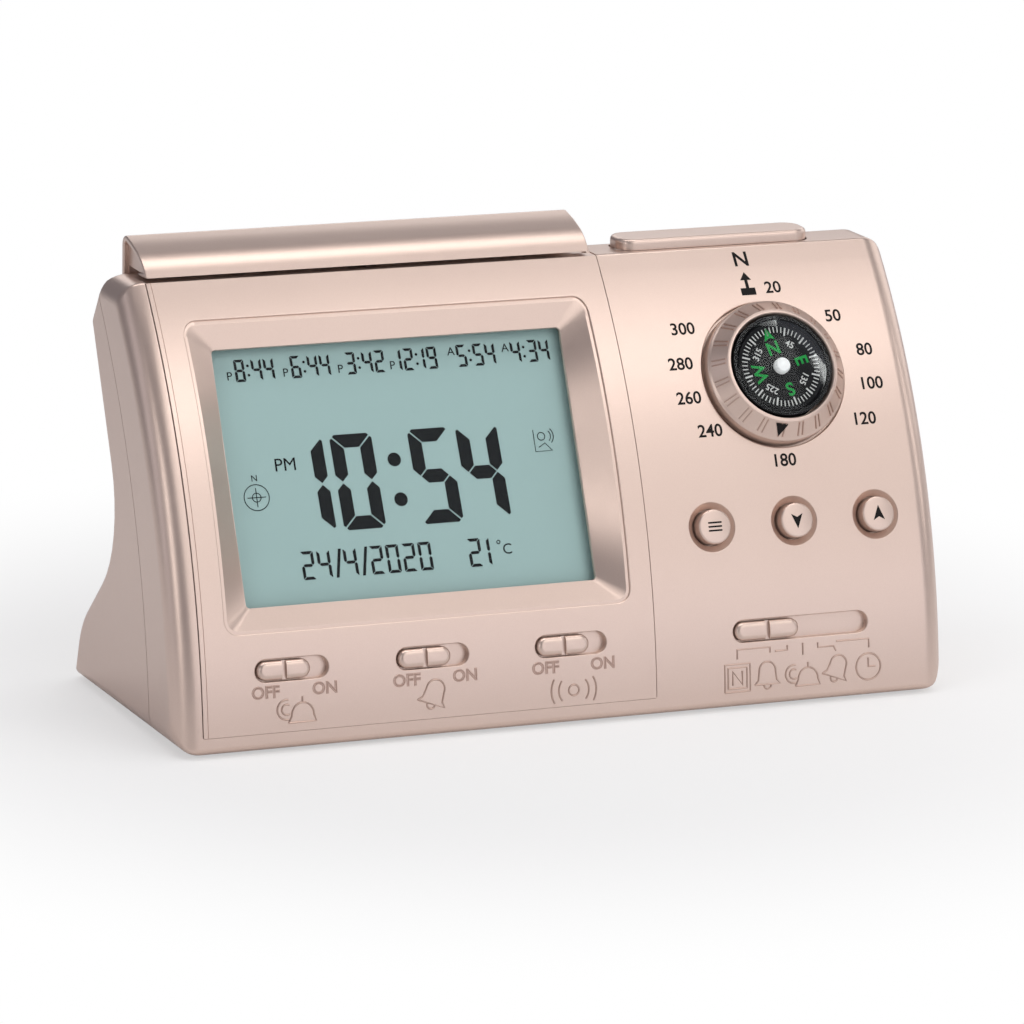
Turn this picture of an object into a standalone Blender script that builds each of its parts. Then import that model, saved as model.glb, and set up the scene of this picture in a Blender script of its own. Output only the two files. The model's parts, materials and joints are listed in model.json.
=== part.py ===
"""Azan clock: a free-standing desk clock with a display, a compass dial and call settings.

The clock is built in its own frame: x runs across the front, y runs back from the front's
foot and z runs up from the underside of the case. One empty carries every piece and puts the
origin under the middle of the clock, on the surface that the rubber feet rest on.
Lengths are metres and angles are radians.
"""

import math

import bmesh
import bpy
from mathutils import Matrix, Vector

# Case
CASE_WIDTH = 0.165
CASE_HEIGHT = 0.0862
CASE_DEPTH = 0.0647
FRONT_RADIUS = 0.145
FRONT_LEAN = math.radians(4.4)
WALL = 0.0022
END_FILLET = 0.005
REAR_END_FILLET = 0.002
PARTING_DEPTH = 0.0165
SHUT_GAP = 0.0003
FIT_GAP = 0.0003
LEAST_EDGE = 0.000002
CUT_OVERRUN = 0.002
TOP_FRONT_FILLET = 0.0008
BOTTOM_FILLET = 0.0015
SHOULDER_DEPTH = 0.048
SHOULDER_HEIGHT = 0.086
SHOULDER_FILLET = 0.003
CREST_DEPTH = 0.055
CREST_HEIGHT = 0.0755
CREST_FILLET = 0.002
WAIST_DEPTH = 0.0358
WAIST_HEIGHT = 0.0343
WAIST_FILLET = 0.021
KNEE_DEPTH = 0.061
KNEE_HEIGHT = 0.0121
KNEE_FILLET = 0.019
FRONT_STEPS = 20
FILLET_STEPS = 3
END_STEPS = 4
ROUND_STEPS = 40
SMALL_ROUND_STEPS = 16

# Rubber feet
FOOT_PROUD = 0.0006
FOOT_RADIUS = 0.004
FOOT_RECESS = 0.0006
FOOT_MARGIN = 0.0135
FOOT_ACROSS = CASE_WIDTH / 2 - FOOT_MARGIN
FOOT_FRONT_DEPTH = 0.009
FOOT_REAR_DEPTH = 0.0575

# Display panel, let into the left of the front
PANEL_LEFT = -0.077
PANEL_RIGHT = 0.0184
PANEL_BOTTOM = 0.0033
PANEL_TOP = 0.086
PANEL_THICKNESS = 0.0022
PANEL_SEAM = 0.0002
LEDGE_WIDTH = 0.0022
LEDGE_THICKNESS = 0.0016
LEDGE_ROOT = 0.0034

# Bezel and window
WINDOW_ACROSS = -0.0291
WINDOW_HEIGHT = 0.0502
WINDOW_SUNK = 0.0054
WINDOW_TILT = math.radians(25.4)
WINDOW_WIDTH = 0.0736
WINDOW_RISE = 0.0515
WINDOW_FILLET = 0.0008
WINDOW_LIP = 0.0008
BEZEL_WIDTH = 0.0853
BEZEL_ACROSS = -0.02895
BEZEL_BOTTOM = 0.0228
BEZEL_TOP = 0.0793
BEZEL_FILLET = 0.0028
BEZEL_STEP = 0.0004
BEZEL_LEDGE = 0.0007
BEZEL_SIDE_STEPS = 12
BLOCK_MARGIN = 0.0068
BLOCK_ROOT = 0.001
FUNNEL_REACH = 0.014

# Display stack behind the window
GLASS_OVERLAP = 0.0022
LENS_THICKNESS = 0.0012
LCD_THICKNESS = 0.0022
GUIDE_THICKNESS = 0.0025
STRIP_WIDTH = 0.002
STRIP_END_INSET = 0.003
CARRIER_RIM = 0.0018
BOARD_THICKNESS = 0.0016
CHIP_RADIUS = 0.007
CHIP_THICKNESS = 0.0015

# Slide switches
SLOT_LENGTH = 0.0152
SLOT_RISE = 0.0044
SLOT_SUNK = 0.0016
SLOT_LEVEL = 0.0156
AZAN_SLOT_ACROSS = -0.0584
ALARM_SLOT_ACROSS = -0.02905
SNOOZE_SLOT_ACROSS = 0.0003
MODE_SLOT_LENGTH = 0.0296
MODE_SLOT_ACROSS = 0.0502
MODE_SLOT_LEVEL = 0.0152
KNOB_LENGTH = 0.0111
MODE_KNOB_LENGTH = 0.014
KNOB_PROUD = 0.0008
KNOB_GROOVE = 0.0011
KNOB_GROOVE_SUNK = 0.0009
KNOB_EDGE = 0.0005
STEM_LENGTH = 0.0024
STEM_RISE = 0.001
STEM_REACH = 0.0052
PAD_MARGIN = 0.0018
PAD_THICKNESS = 0.0012
SWITCH_BODY_RISE = 0.005
SWITCH_BODY_MARGIN = 0.0015
SWITCH_BODY_THICKNESS = 0.0029
SWITCH_BOARD_RISE = 0.012
SWITCH_BOARD_MARGIN = 0.006
BOARD_POST_RADIUS = 0.002

# Push buttons
BUTTON_LEVEL = 0.0358
BUTTON_MIDDLE = 0.0505
BUTTON_PITCH = 0.018
BUTTON_ACROSS = (BUTTON_MIDDLE - BUTTON_PITCH, BUTTON_MIDDLE, BUTTON_MIDDLE + BUTTON_PITCH)
BUTTON_RADIUS = 0.0035
BUTTON_HOLE_RADIUS = 0.0038
BUTTON_SINK_RADIUS = 0.0049
BUTTON_SINK_DEPTH = 0.0011
BUTTON_PROUD = 0.0016
BUTTON_EDGE = 0.0005
BUTTON_FLANGE_RADIUS = 0.0047
BUTTON_FLANGE_THICKNESS = 0.001
BUTTON_STEM_RADIUS = 0.0022
BUTTON_STEM_REACH = 0.006
BUTTON_TRAVEL = 0.001
MAT_DOME_RADIUS = 0.0026
MAT_DOME_RISE = 0.00045
MAT_THICKNESS = 0.001
MAT_MARGIN = 0.0045
CONTROL_BOARD_ABOVE = 0.007
CONTROL_BOARD_BELOW = 0.0265
CONTROL_BOARD_MARGIN = 0.005

# Compass dial
COMPASS_ACROSS = 0.0507
COMPASS_LEVEL = 0.0633
RING_RADIUS = 0.0149
RING_WALL_TOP = 0.0015
RING_SHOULDER = 0.002
RING_SHOULDER_INSET = 0.0006
RING_LIP_RADIUS = 0.012
RING_LIP_WIDTH = 0.0009
RING_TOP = 0.0052
RING_LIP_FALL = 0.0003
RING_BORE_RADIUS = 0.0109
RING_SKIRT_RADIUS = 0.0124
RECESS_GAP = 0.0005
RECESS_SUNK = 0.0015
RECESS_FLOOR = 0.0021
BOSS_BORE_RADIUS = 0.0167
BOSS_RADIUS = 0.0184
BOSS_REACH = 0.006
RETAINER_RADIUS = 0.0148
RETAINER_THICKNESS = 0.001
HOUSING_RADIUS = 0.0105
HOUSING_WALL = 0.0008
HOUSING_RIM = 0.0048
HOUSING_FLOOR = 0.002
HOUSING_FLANGE_RADIUS = 0.0178
HOUSING_FLANGE_THICKNESS = 0.0015
CARD_RADIUS = 0.0092
CARD_LEVEL = 0.0036
CARD_THICKNESS = 0.0006
HUB_RADIUS = 0.00165
HUB_TOP = 0.006
HUB_WALL = 0.0007
PIVOT_BASE_RADIUS = 0.0012
PIVOT_BASE_THICKNESS = 0.0004
PIVOT_RADIUS = 0.0004
LENS_RIM_RISE = 0.0004
LENS_CROWN = 0.0018
LENS_WALL = 0.0008
LENS_STEPS = 5

# Keys on the top
BAR_LEFT = -0.0768
BAR_RIGHT = 0.0171
BAR_FRONT_DEPTH = 0.0373
SEAT_HEIGHT = 0.0857
BAR_FRONT_LIFT = 0.0012
BAR_FRONT_HEIGHT = SEAT_HEIGHT + BAR_FRONT_LIFT
BAR_BROW_DEPTH = 0.0402
BAR_BROW_LIFT = 0.0044
BAR_BROW_HEIGHT = SEAT_HEIGHT + BAR_BROW_LIFT
BAR_BROW_FILLET = 0.005
BAR_CREST_DEPTH = 0.0522
BAR_CREST_LIFT = 0.0077
BAR_CREST_HEIGHT = SEAT_HEIGHT + BAR_CREST_LIFT
BAR_CREST_FILLET = 0.0022
BAR_REAR_DROP = 0.0019
BAR_REAR_HEIGHT = SEAT_HEIGHT - BAR_REAR_DROP
BAR_WALL = 0.0016
BAR_END_SUNK = 0.001
BAR_END_RIM = 0.0011
BAR_TRAVEL = 0.0008
BAR_POST_ACROSS = -0.03
KEY_POST_DEPTH = 0.0442
KEY_POST_RADIUS = 0.002
KEY_HOLE_RADIUS = 0.003
SEAT_MARGIN = 0.0006
PAD_LEFT = 0.0245
PAD_RIGHT = 0.0665
PAD_FRONT_DEPTH = 0.0382
PAD_REAR_DEPTH = 0.047
PAD_TOP = 0.0884
PAD_SKIRT = 0.0869
PAD_CORNER = 0.0035
PAD_CHAMFER = 0.0009
PAD_TRAVEL = 0.0008
PAD_WELL_FLOOR = 0.0852
PAD_WELL_WALL = 0.0015
TACT_WIDTH = 0.006
TACT_BODY_RISE = 0.0032
TACT_PLUNGER_RADIUS = 0.0015
TACT_PLUNGER_RISE = 0.0005
POST_CLEARANCE = 0.0002
KEY_BOARD_HEIGHT = 0.0776
KEY_BOARD_LEFT = -0.038
KEY_BOARD_RIGHT = 0.056
KEY_BOARD_DEPTH = 0.008
KEY_BOARD_LEFT_HANGER = 0.015
KEY_BOARD_RIGHT_HANGER = 0.03
KEY_BOARD_HANGERS = (-KEY_BOARD_LEFT_HANGER, KEY_BOARD_RIGHT_HANGER)
HANGER_RADIUS = 0.0018

# Speaker on the rear wall
SPEAKER_ACROSS = 0.05
SPEAKER_HEIGHT = 0.0605
SPEAKER_RADIUS = 0.014
SPEAKER_RIM_THICKNESS = 0.0012
SPEAKER_RIM_WIDTH = 0.002
SPEAKER_BASKET_RADIUS = 0.0085
SPEAKER_BASKET_DEPTH = 0.0042
SPEAKER_BASKET_WALL = 0.0008
MAGNET_RADIUS = 0.0075
MAGNET_THICKNESS = 0.0035
CONE_THROAT_RADIUS = 0.003
CONE_WALL = 0.0005
GRILLE_SLOT_RISE = 0.0016
GRILLE_PITCH = 0.0036
GRILLE_SLOTS = 5
GRILLE_RADIUS = 0.0105

# Battery bay, seen from below
BATTERY_RADIUS = 0.0071
BATTERY_LENGTH = 0.0495
BATTERY_NIPPLE_RADIUS = 0.0027
BATTERY_NIPPLE_LENGTH = 0.001
BATTERY_PITCH = 0.0148
BATTERY_MID_DEPTH = 0.0416
BAY_ACROSS = -0.031
BAY_LENGTH = 0.0565
BAY_WALL = 0.0012
BAY_FRONT_DEPTH = 0.0266
BAY_REAR_DEPTH = 0.0575
BAY_CEILING = 0.0165
BAY_SLOPE_DEPTH = 0.0525
BAY_SLOPE_HEIGHT = 0.0112
CONTACT_THICKNESS = 0.0004
CONTACT_WIDTH = 0.011
CONTACT_RISE = 0.01
DOOR_WIDTH = 0.0575
DOOR_FRONT_DEPTH = 0.0255
DOOR_THICKNESS = 0.0013
DOOR_TONGUE_WIDTH = 0.0012
DOOR_TONGUE_THICKNESS = 0.0006
DOOR_LIP = 0.0005
DOOR_GRIP_DEPTH = 0.0004
DOOR_GRIP_WIDTH = 0.012
DOOR_GRIPS = 3
DOOR_GRIP_PITCH = 0.003
BAY_OPENING_MARGIN = 0.0005

# Case screws
SCREW_MARGIN = 0.0055
SCREW_ACROSS = CASE_WIDTH / 2 - SCREW_MARGIN
LOW_SCREW_HEIGHT = 0.0105
HIGH_SCREW_HEIGHT = 0.062
SCREW_HEIGHTS = (LOW_SCREW_HEIGHT, HIGH_SCREW_HEIGHT)
SCREW_RADIUS = 0.0013
SCREW_HEAD_RADIUS = 0.0022
SCREW_HEAD_THICKNESS = 0.0014
SCREW_LENGTH = 0.009
SCREW_SOCKET_RADIUS = 0.0008
SCREW_SOCKET_DEPTH = 0.0007
BOSS_POST_RADIUS = 0.003
WELL_RADIUS = 0.0038
WELL_FLOOR = 0.0016

# Finishes as red, green, blue, roughness, metallic
ROSE_PAINT = (0.74, 0.52, 0.44, 0.38, 0.75)
BLACK_PLASTIC = (0.015, 0.015, 0.016, 0.35, 0.0)
GREY_PLASTIC = (0.22, 0.22, 0.23, 0.5, 0.0)
IVORY_PLASTIC = (0.78, 0.76, 0.7, 0.5, 0.0)
CLEAR_PLASTIC = (0.86, 0.9, 0.9, 0.08, 0.0)
DISPLAY_GLASS = (0.3, 0.46, 0.44, 0.2, 0.0)
BOARD_GREEN = (0.03, 0.17, 0.07, 0.5, 0.0)
RUBBER = (0.03, 0.03, 0.03, 0.85, 0.0)
SILICONE = (0.75, 0.75, 0.73, 0.7, 0.0)
STEEL = (0.6, 0.6, 0.6, 0.3, 1.0)
BRASS = (0.75, 0.58, 0.28, 0.3, 1.0)
PAPER = (0.06, 0.06, 0.06, 0.9, 0.0)
BATTERY_SLEEVE = (0.12, 0.2, 0.42, 0.35, 0.2)

PARTS = bpy.data.collections.new("azan_clock")
CUTTERS = bpy.data.collections.new("cutters")

# Local x runs back, local y runs up and local z runs across the clock
SIDE_FRAME = Matrix(((0, 0, 1, 0), (1, 0, 0, 0), (0, 1, 0, 0), (0, 0, 0, 1)))


def clear_scene():
    """Remove whatever the scene holds and link the two collections."""
    for obj in list(bpy.data.objects):
        bpy.data.objects.remove(obj, do_unlink=True)
    for collection in (PARTS, CUTTERS):
        bpy.context.scene.collection.children.link(collection)


def face_lean(height):
    """Angle that the curved front leans back at a height."""
    return math.asin(math.sin(FRONT_LEAN) + height / FRONT_RADIUS)


def face_depth(height):
    """How far back the curved front lies at a height."""
    return FRONT_RADIUS * (math.cos(FRONT_LEAN) - math.cos(face_lean(height)))


def leaning_frame(across, depth, height, lean):
    """Frame at a point whose z points out of a surface that leans back by an angle."""
    return Matrix.Translation((across, depth, height)) @ Matrix.Rotation(math.pi / 2 - lean, 4, "X")


def face_frame(across, height):
    """Frame on the curved front, x across, y up the face and z out of it."""
    return leaning_frame(across, face_depth(height), height, face_lean(height))


def window_frame():
    """Frame in the middle of the window, z out of the display."""
    depth = face_depth(WINDOW_HEIGHT) + WINDOW_SUNK
    return leaning_frame(WINDOW_ACROSS, depth, WINDOW_HEIGHT, WINDOW_TILT)


def arc_points(inset, low, high, steps):
    """Points on the front's arc, moved in by an inset, from a low height to a high one."""
    radius = FRONT_RADIUS - inset
    centre_depth = FRONT_RADIUS * math.cos(FRONT_LEAN)
    centre_height = -FRONT_RADIUS * math.sin(FRONT_LEAN)
    first = math.asin((low - centre_height) / radius)
    last = math.asin((high - centre_height) / radius)
    points = []
    for step in range(steps + 1):
        angle = first + (last - first) * step / steps
        points.append(Vector((centre_depth - radius * math.cos(angle),
                              centre_height + radius * math.sin(angle))))
    return points


def fillet_corner(before, corner, after, radius, steps):
    """Points that round one corner of an outline, all on the corner itself for no radius."""
    if radius <= 0:
        return [corner.copy() for step in range(steps + 1)]
    back = (before - corner).normalized()
    ahead = (after - corner).normalized()
    half = back.angle(ahead) / 2
    reach = radius / math.tan(half)
    centre = corner + (back + ahead).normalized() * (radius / math.sin(half))
    start = corner + back * reach - centre
    end = corner + ahead * reach - centre
    sweep = start.angle_signed(end)
    return [centre + Matrix.Rotation(-sweep * step / steps, 2) @ start for step in range(steps + 1)]


def rounded_outline(corners, steps):
    """Closed outline from (point, radius) pairs, each corner rounded by its radius."""
    points = [Vector(point) for point, _ in corners]
    outline = []
    for index, (_, radius) in enumerate(corners):
        after = points[(index + 1) % len(points)]
        outline += fillet_corner(points[index - 1], points[index], after, radius, steps)
    return outline


def capsule(length, rise):
    """Outline with half-round ends about the origin."""
    radius = rise / 2
    outline = []
    for side in (1, -1):
        middle = Vector((side * (length / 2 - radius), 0.0))
        for step in range(2 * FILLET_STEPS + 1):
            angle = math.pi * (step / (2 * FILLET_STEPS) - 0.5)
            outline.append(middle + Vector((math.cos(angle), math.sin(angle))) * (side * radius))
    return outline


def rounded_rect(width, height, radius, corner_steps, side_steps=1):
    """Rounded rectangle about the origin, with side_steps spans on each upright side."""
    half_width, half_height = width / 2, height / 2
    corners = ((half_width, -half_height), (half_width, half_height),
               (-half_width, half_height), (-half_width, -half_height))
    rounded = rounded_outline([(corner, radius) for corner in corners], corner_steps)
    outline = []
    per_corner = len(rounded) // 4
    for side in range(4):
        run = rounded[side * per_corner:(side + 1) * per_corner]
        outline += run
        if side % 2 == 0:
            end = rounded[(side + 1) * per_corner]
            for step in range(1, side_steps):
                outline.append(run[-1].lerp(end, step / side_steps))
    return outline


def moved(outline, across, along):
    """An outline shifted in its own plane."""
    return [point + Vector((across, along)) for point in outline]


def band_outline(outer, inner, low, high):
    """Closed band between two insets of the front's arc."""
    front = arc_points(outer, low, high, FRONT_STEPS)
    back = arc_points(inner, low, high, FRONT_STEPS)
    return front + list(reversed(back))


def inset_corner(before, corner, after, inset, next_inset):
    """Corner of a clockwise outline moved inwards by one inset from each of its sides."""
    first = (corner - before).normalized()
    second = (after - corner).normalized()
    first_in = Vector((first.y, -first.x))
    second_in = Vector((second.y, -second.x))
    spread = first_in.x * second_in.y - second_in.x * first_in.y
    across = (inset * second_in.y - next_inset * first_in.y) / spread
    along = (next_inset * first_in.x - inset * second_in.x) / spread
    return corner + Vector((across, along))


def case_outline(inset, front_end, rear_end):
    """Side outline of the case moved inwards, further at the rounded ends than elsewhere."""
    front_inset = inset + front_end
    rear_inset = inset + rear_end
    front = arc_points(front_inset, rear_inset, CASE_HEIGHT - front_inset, FRONT_STEPS)
    rear = [Vector((face_depth(CASE_HEIGHT), CASE_HEIGHT)),
            Vector((SHOULDER_DEPTH, SHOULDER_HEIGHT)),
            Vector((CREST_DEPTH, CREST_HEIGHT)),
            Vector((WAIST_DEPTH, WAIST_HEIGHT)),
            Vector((KNEE_DEPTH, KNEE_HEIGHT)),
            Vector((CASE_DEPTH, 0.0)),
            Vector((0.0, 0.0))]
    fillets = (SHOULDER_FILLET - front_inset, CREST_FILLET - rear_inset, WAIST_FILLET + rear_inset,
               KNEE_FILLET - rear_inset, BOTTOM_FILLET - rear_inset)
    insets = (front_inset, rear_inset, rear_inset, rear_inset, rear_inset, rear_inset)
    outline = front[1:-1]
    corners = [(front[-1], TOP_FRONT_FILLET - front_inset)]
    for index, fillet in enumerate(fillets, start=1):
        corner = inset_corner(rear[index - 1], rear[index], rear[index + 1],
                              insets[index - 1], insets[index])
        corners.append((corner, fillet))
    corners.append((front[0], BOTTOM_FILLET - front_inset))
    places = [front[-2]] + [corner for corner, fillet in corners] + [front[1]]
    for index, (corner, fillet) in enumerate(corners):
        outline += fillet_corner(places[index], corner, places[index + 2], fillet, FILLET_STEPS)
    return outline


def weld(mesh):
    """Merge the doubled points of a mesh and turn its faces outwards."""
    shape = bmesh.new()
    shape.from_mesh(mesh)
    bmesh.ops.remove_doubles(shape, verts=shape.verts, dist=CUT_OVERRUN / 1000)
    bmesh.ops.recalc_face_normals(shape, faces=shape.faces)
    shape.to_mesh(mesh)
    shape.free()


def add_object(name, mesh, frame, finish):
    """Object in the clock's frame: a part when it has a finish, a cutter when it has none."""
    obj = bpy.data.objects.new(name, mesh)
    if finish is None:
        CUTTERS.objects.link(obj)
        obj.hide_render = True
        obj.display_type = "WIRE"
    else:
        PARTS.objects.link(obj)
        obj.data.materials.append(make_material(name, finish))
    obj.parent = bpy.data.objects["clock_origin"]
    obj.matrix_local = frame
    return obj


def make_material(name, finish):
    """Principled material from red, green, blue, roughness and metallic."""
    material = bpy.data.materials.new(name + "_finish")
    material.use_nodes = True
    shader = material.node_tree.nodes["Principled BSDF"]
    shader.inputs["Base Color"].default_value = (*finish[:3], 1.0)
    shader.inputs["Roughness"].default_value = finish[3]
    shader.inputs["Metallic"].default_value = finish[4]
    return material


def plate(name, loops, low, high, frame, finish=None):
    """Flat outline with any holes, from a low to a high level of its frame's z."""
    curve = bpy.data.curves.new(name, "CURVE")
    curve.dimensions = "2D"
    curve.fill_mode = "BOTH"
    curve.extrude = (high - low) / 2
    for loop in loops:
        places = [place for index, place in enumerate(loop)
                  if (place - loop[index - 1]).length > LEAST_EDGE]
        spline = curve.splines.new("POLY")
        spline.points.add(len(places) - 1)
        for point, place in zip(spline.points, places):
            point.co = (place.x, place.y, 0.0, 1.0)
        spline.use_cyclic_u = True
    drawn = bpy.data.objects.new(name, curve)
    CUTTERS.objects.link(drawn)
    evaluated = drawn.evaluated_get(bpy.context.evaluated_depsgraph_get())
    mesh = bpy.data.meshes.new_from_object(evaluated)
    bpy.data.objects.remove(drawn, do_unlink=True)
    bpy.data.curves.remove(curve)
    mesh.name = name
    mesh.transform(Matrix.Translation((0, 0, (low + high) / 2)))
    weld(mesh)
    return add_object(name, mesh, frame, finish)


def across_prism(name, outline, left, right, finish=None):
    """Side outline carried across the clock from left to right."""
    return plate(name, [outline], left, right, SIDE_FRAME, finish)


def block(name, size, low, frame, finish=None):
    """Box of a size, centred on its frame's z axis and standing on a low level."""
    shape = bmesh.new()
    bmesh.ops.create_cube(shape, size=1.0)
    bmesh.ops.scale(shape, vec=size, verts=shape.verts)
    bmesh.ops.translate(shape, vec=(0, 0, low + size[2] / 2), verts=shape.verts)
    mesh = bpy.data.meshes.new(name)
    shape.to_mesh(mesh)
    shape.free()
    return add_object(name, mesh, frame, finish)


def rod(name, radius, low, high, frame, finish=None, steps=SMALL_ROUND_STEPS):
    """Round bar along its frame's z axis."""
    shape = bmesh.new()
    bmesh.ops.create_cone(shape, cap_ends=True, segments=steps, radius1=radius, radius2=radius,
                          depth=high - low)
    bmesh.ops.translate(shape, vec=(0, 0, (low + high) / 2), verts=shape.verts)
    mesh = bpy.data.meshes.new(name)
    shape.to_mesh(mesh)
    shape.free()
    return add_object(name, mesh, frame, finish)


def turned(name, profile, frame, finish=None, steps=ROUND_STEPS, closed=False):
    """Profile of (radius, level) points turned round its frame's z axis."""
    mesh = bpy.data.meshes.new(name)
    edges = [(index, index + 1) for index in range(len(profile) - 1)]
    if closed:
        edges.append((len(profile) - 1, 0))
    mesh.from_pydata([(radius, 0.0, level) for radius, level in profile], edges, [])
    obj = add_object(name, mesh, frame, finish)
    screw = obj.modifiers.new("turn", "SCREW")
    screw.steps = steps
    screw.render_steps = steps
    screw.use_merge_vertices = True
    screw.merge_threshold = CUT_OVERRUN / 1000
    return obj


def combine(target, other, operation):
    """Boolean of a target with a helper solid."""
    modifier = target.modifiers.new(other.name, "BOOLEAN")
    modifier.operation = operation
    modifier.object = other
    modifier.solver = "EXACT"


def cut(target, *cutters):
    """Take helper solids out of a target."""
    for cutter in cutters:
        combine(target, cutter, "DIFFERENCE")


def fuse(target, *pieces):
    """Join helper solids to a target."""
    for piece in pieces:
        combine(target, piece, "UNION")


def smooth(obj, angle=math.radians(35)):
    """Shade an object's round faces smooth and keep its edges sharp."""
    obj.data.shade_smooth()
    obj.data.set_sharp_from_angle(angle=angle)


def end_inset(distance, fillet):
    """How far a rounded end draws an outline in, at a distance from the end."""
    if distance >= fillet:
        return 0.0
    return fillet - math.sqrt(fillet ** 2 - (fillet - distance) ** 2)


def case_solid(name, inset, finish=None):
    """Whole case as one solid with rounded ends, moved inwards by an inset."""
    front_fillet = END_FILLET - inset
    rear_fillet = max(REAR_END_FILLET - inset, 0.0)
    half = CASE_WIDTH / 2 - inset
    sections = []
    for step in range(END_STEPS + 1):
        distance = front_fillet * (1 - math.cos(math.pi / 2 * step / END_STEPS))
        outline = case_outline(inset, end_inset(distance, front_fillet),
                               end_inset(distance, rear_fillet))
        sections.append((half - distance, outline))
    loops = [[Vector((point.x, point.y, -across)) for point in outline]
             for across, outline in sections]
    loops += [[Vector((point.x, point.y, across)) for point in outline]
              for across, outline in reversed(sections)]
    return loft(name, loops, SIDE_FRAME, finish)


def parting_prism(name, shift):
    """Everything in front of the line where the two case halves meet."""
    low = -2 * CUT_OVERRUN
    high = CASE_HEIGHT + 2 * CUT_OVERRUN
    curve = [point + Vector((PARTING_DEPTH + shift, 0.0))
             for point in arc_points(0.0, low, high, FRONT_STEPS)]
    corner = Vector((-PARTING_DEPTH, high))
    outline = curve + [corner, Vector((-PARTING_DEPTH, low))]
    half = CASE_WIDTH / 2 + CUT_OVERRUN
    return across_prism(name, outline, -half, half)


def slot_cutters(name, frame, length, travel):
    """Cutters for a slide switch: the sunk slot and the slit that its stem passes."""
    slot = plate(name + "_slot", [capsule(length, SLOT_RISE)], -SLOT_SUNK, CUT_OVERRUN, frame)
    slit_size = (travel + STEM_LENGTH + 2 * FIT_GAP, STEM_RISE + 2 * FIT_GAP, STEM_REACH)
    slit = block(name + "_slit", slit_size, -STEM_REACH, frame)
    return slot, slit


def slot_pad(name, frame, length):
    """Thickening behind a slot, so that its sunk floor keeps a wall."""
    size = (length + 2 * PAD_MARGIN, SLOT_RISE + 2 * PAD_MARGIN, PAD_THICKNESS + WALL / 2)
    return block(name + "_pad", size, -WALL - PAD_THICKNESS, frame)


def knob_travel(slot_length, knob_length):
    """How far a knob slides in its slot."""
    return slot_length - knob_length - 2 * FIT_GAP


def make_front_case():
    """Front half of the case: control face, top and the front of both sides."""
    case = case_solid("front_case", 0.0, ROSE_PAINT)
    cavity = case_solid("front_cavity", WALL)
    keep_front_supports(cavity)
    cut(case, cavity)
    combine(case, parting_prism("front_parting", 0.0), "INTERSECT")

    opening = band_outline(-CUT_OVERRUN, PANEL_THICKNESS + FIT_GAP, PANEL_BOTTOM,
                           CASE_HEIGHT + CUT_OVERRUN)
    cut(case, across_prism("panel_opening", opening, PANEL_LEFT - PANEL_SEAM,
                           PANEL_RIGHT + PANEL_SEAM))
    seat_size = (BAR_RIGHT - BAR_LEFT + 2 * SEAT_MARGIN, CASE_DEPTH, CASE_HEIGHT)
    seat_middle = ((BAR_LEFT + BAR_RIGHT) / 2, face_depth(CASE_HEIGHT) + CASE_DEPTH / 2, 0.0)
    cut(case, block("bar_seat", seat_size, SEAT_HEIGHT, Matrix.Translation(seat_middle)))
    make_button_holes(case)
    make_mode_slot(case)
    make_top_seats(case)
    for tag, frame in screw_frames():
        cut(case, rod("boss_bore_" + tag, SCREW_RADIUS + FIT_GAP / 3, -SCREW_LENGTH, CUT_OVERRUN, frame))
    cut_foot_recesses(case, FOOT_FRONT_DEPTH)
    make_compass_seat(case)
    smooth(case)
    return case


def make_compass_seat(case):
    """Round recess for the turning ring and the hole that its skirt passes."""
    frame = face_frame(COMPASS_ACROSS, COMPASS_LEVEL)
    recess = RING_RADIUS + RECESS_GAP
    bore = RING_SKIRT_RADIUS + FIT_GAP
    profile = [(0.0, RING_TOP), (recess, RING_TOP), (recess, -RECESS_SUNK), (bore, -RECESS_SUNK),
               (bore, -BOSS_REACH), (0.0, -BOSS_REACH)]
    cut(case, turned("compass_hole", profile, frame))


def make_button_holes(case):
    """Countersunk holes for the three push buttons."""
    for index, across in enumerate(BUTTON_ACROSS):
        slope = (BUTTON_SINK_RADIUS - BUTTON_HOLE_RADIUS) / BUTTON_SINK_DEPTH
        top_radius = BUTTON_SINK_RADIUS + slope * CUT_OVERRUN
        low = -WALL - CUT_OVERRUN
        profile = [(0.0, CUT_OVERRUN), (top_radius, CUT_OVERRUN),
                   (BUTTON_HOLE_RADIUS, -BUTTON_SINK_DEPTH), (BUTTON_HOLE_RADIUS, low), (0.0, low)]
        cut(case, turned(f"button_hole_{index}", profile, face_frame(across, BUTTON_LEVEL),
                         steps=SMALL_ROUND_STEPS * 2))


def make_mode_slot(case):
    """Long slot of the five-position slider."""
    frame = face_frame(MODE_SLOT_ACROSS, MODE_SLOT_LEVEL)
    travel = knob_travel(MODE_SLOT_LENGTH, MODE_KNOB_LENGTH)
    cut(case, *slot_cutters("mode", frame, MODE_SLOT_LENGTH, travel))


def pad_outline(margin):
    """Outline of the pad key from above, widened by a margin."""
    width = PAD_RIGHT - PAD_LEFT + 2 * margin
    depth = PAD_REAR_DEPTH - PAD_FRONT_DEPTH + 2 * margin
    outline = rounded_rect(width, depth, PAD_CORNER + margin, FILLET_STEPS)
    return moved(outline, (PAD_LEFT + PAD_RIGHT) / 2, (PAD_FRONT_DEPTH + PAD_REAR_DEPTH) / 2)


def make_top_seats(case):
    """Well under the pad key and the holes that the two key posts pass."""
    level = Matrix.Identity(4)
    cut(case, plate("pad_well", [pad_outline(FIT_GAP)], PAD_WELL_FLOOR, PAD_TOP, level))
    for across in (BAR_POST_ACROSS, (PAD_LEFT + PAD_RIGHT) / 2):
        frame = Matrix.Translation((across, KEY_POST_DEPTH, 0.0))
        cut(case, rod(f"key_hole_{across:.3f}", KEY_HOLE_RADIUS, KEY_BOARD_HEIGHT, PAD_TOP, frame))


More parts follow.
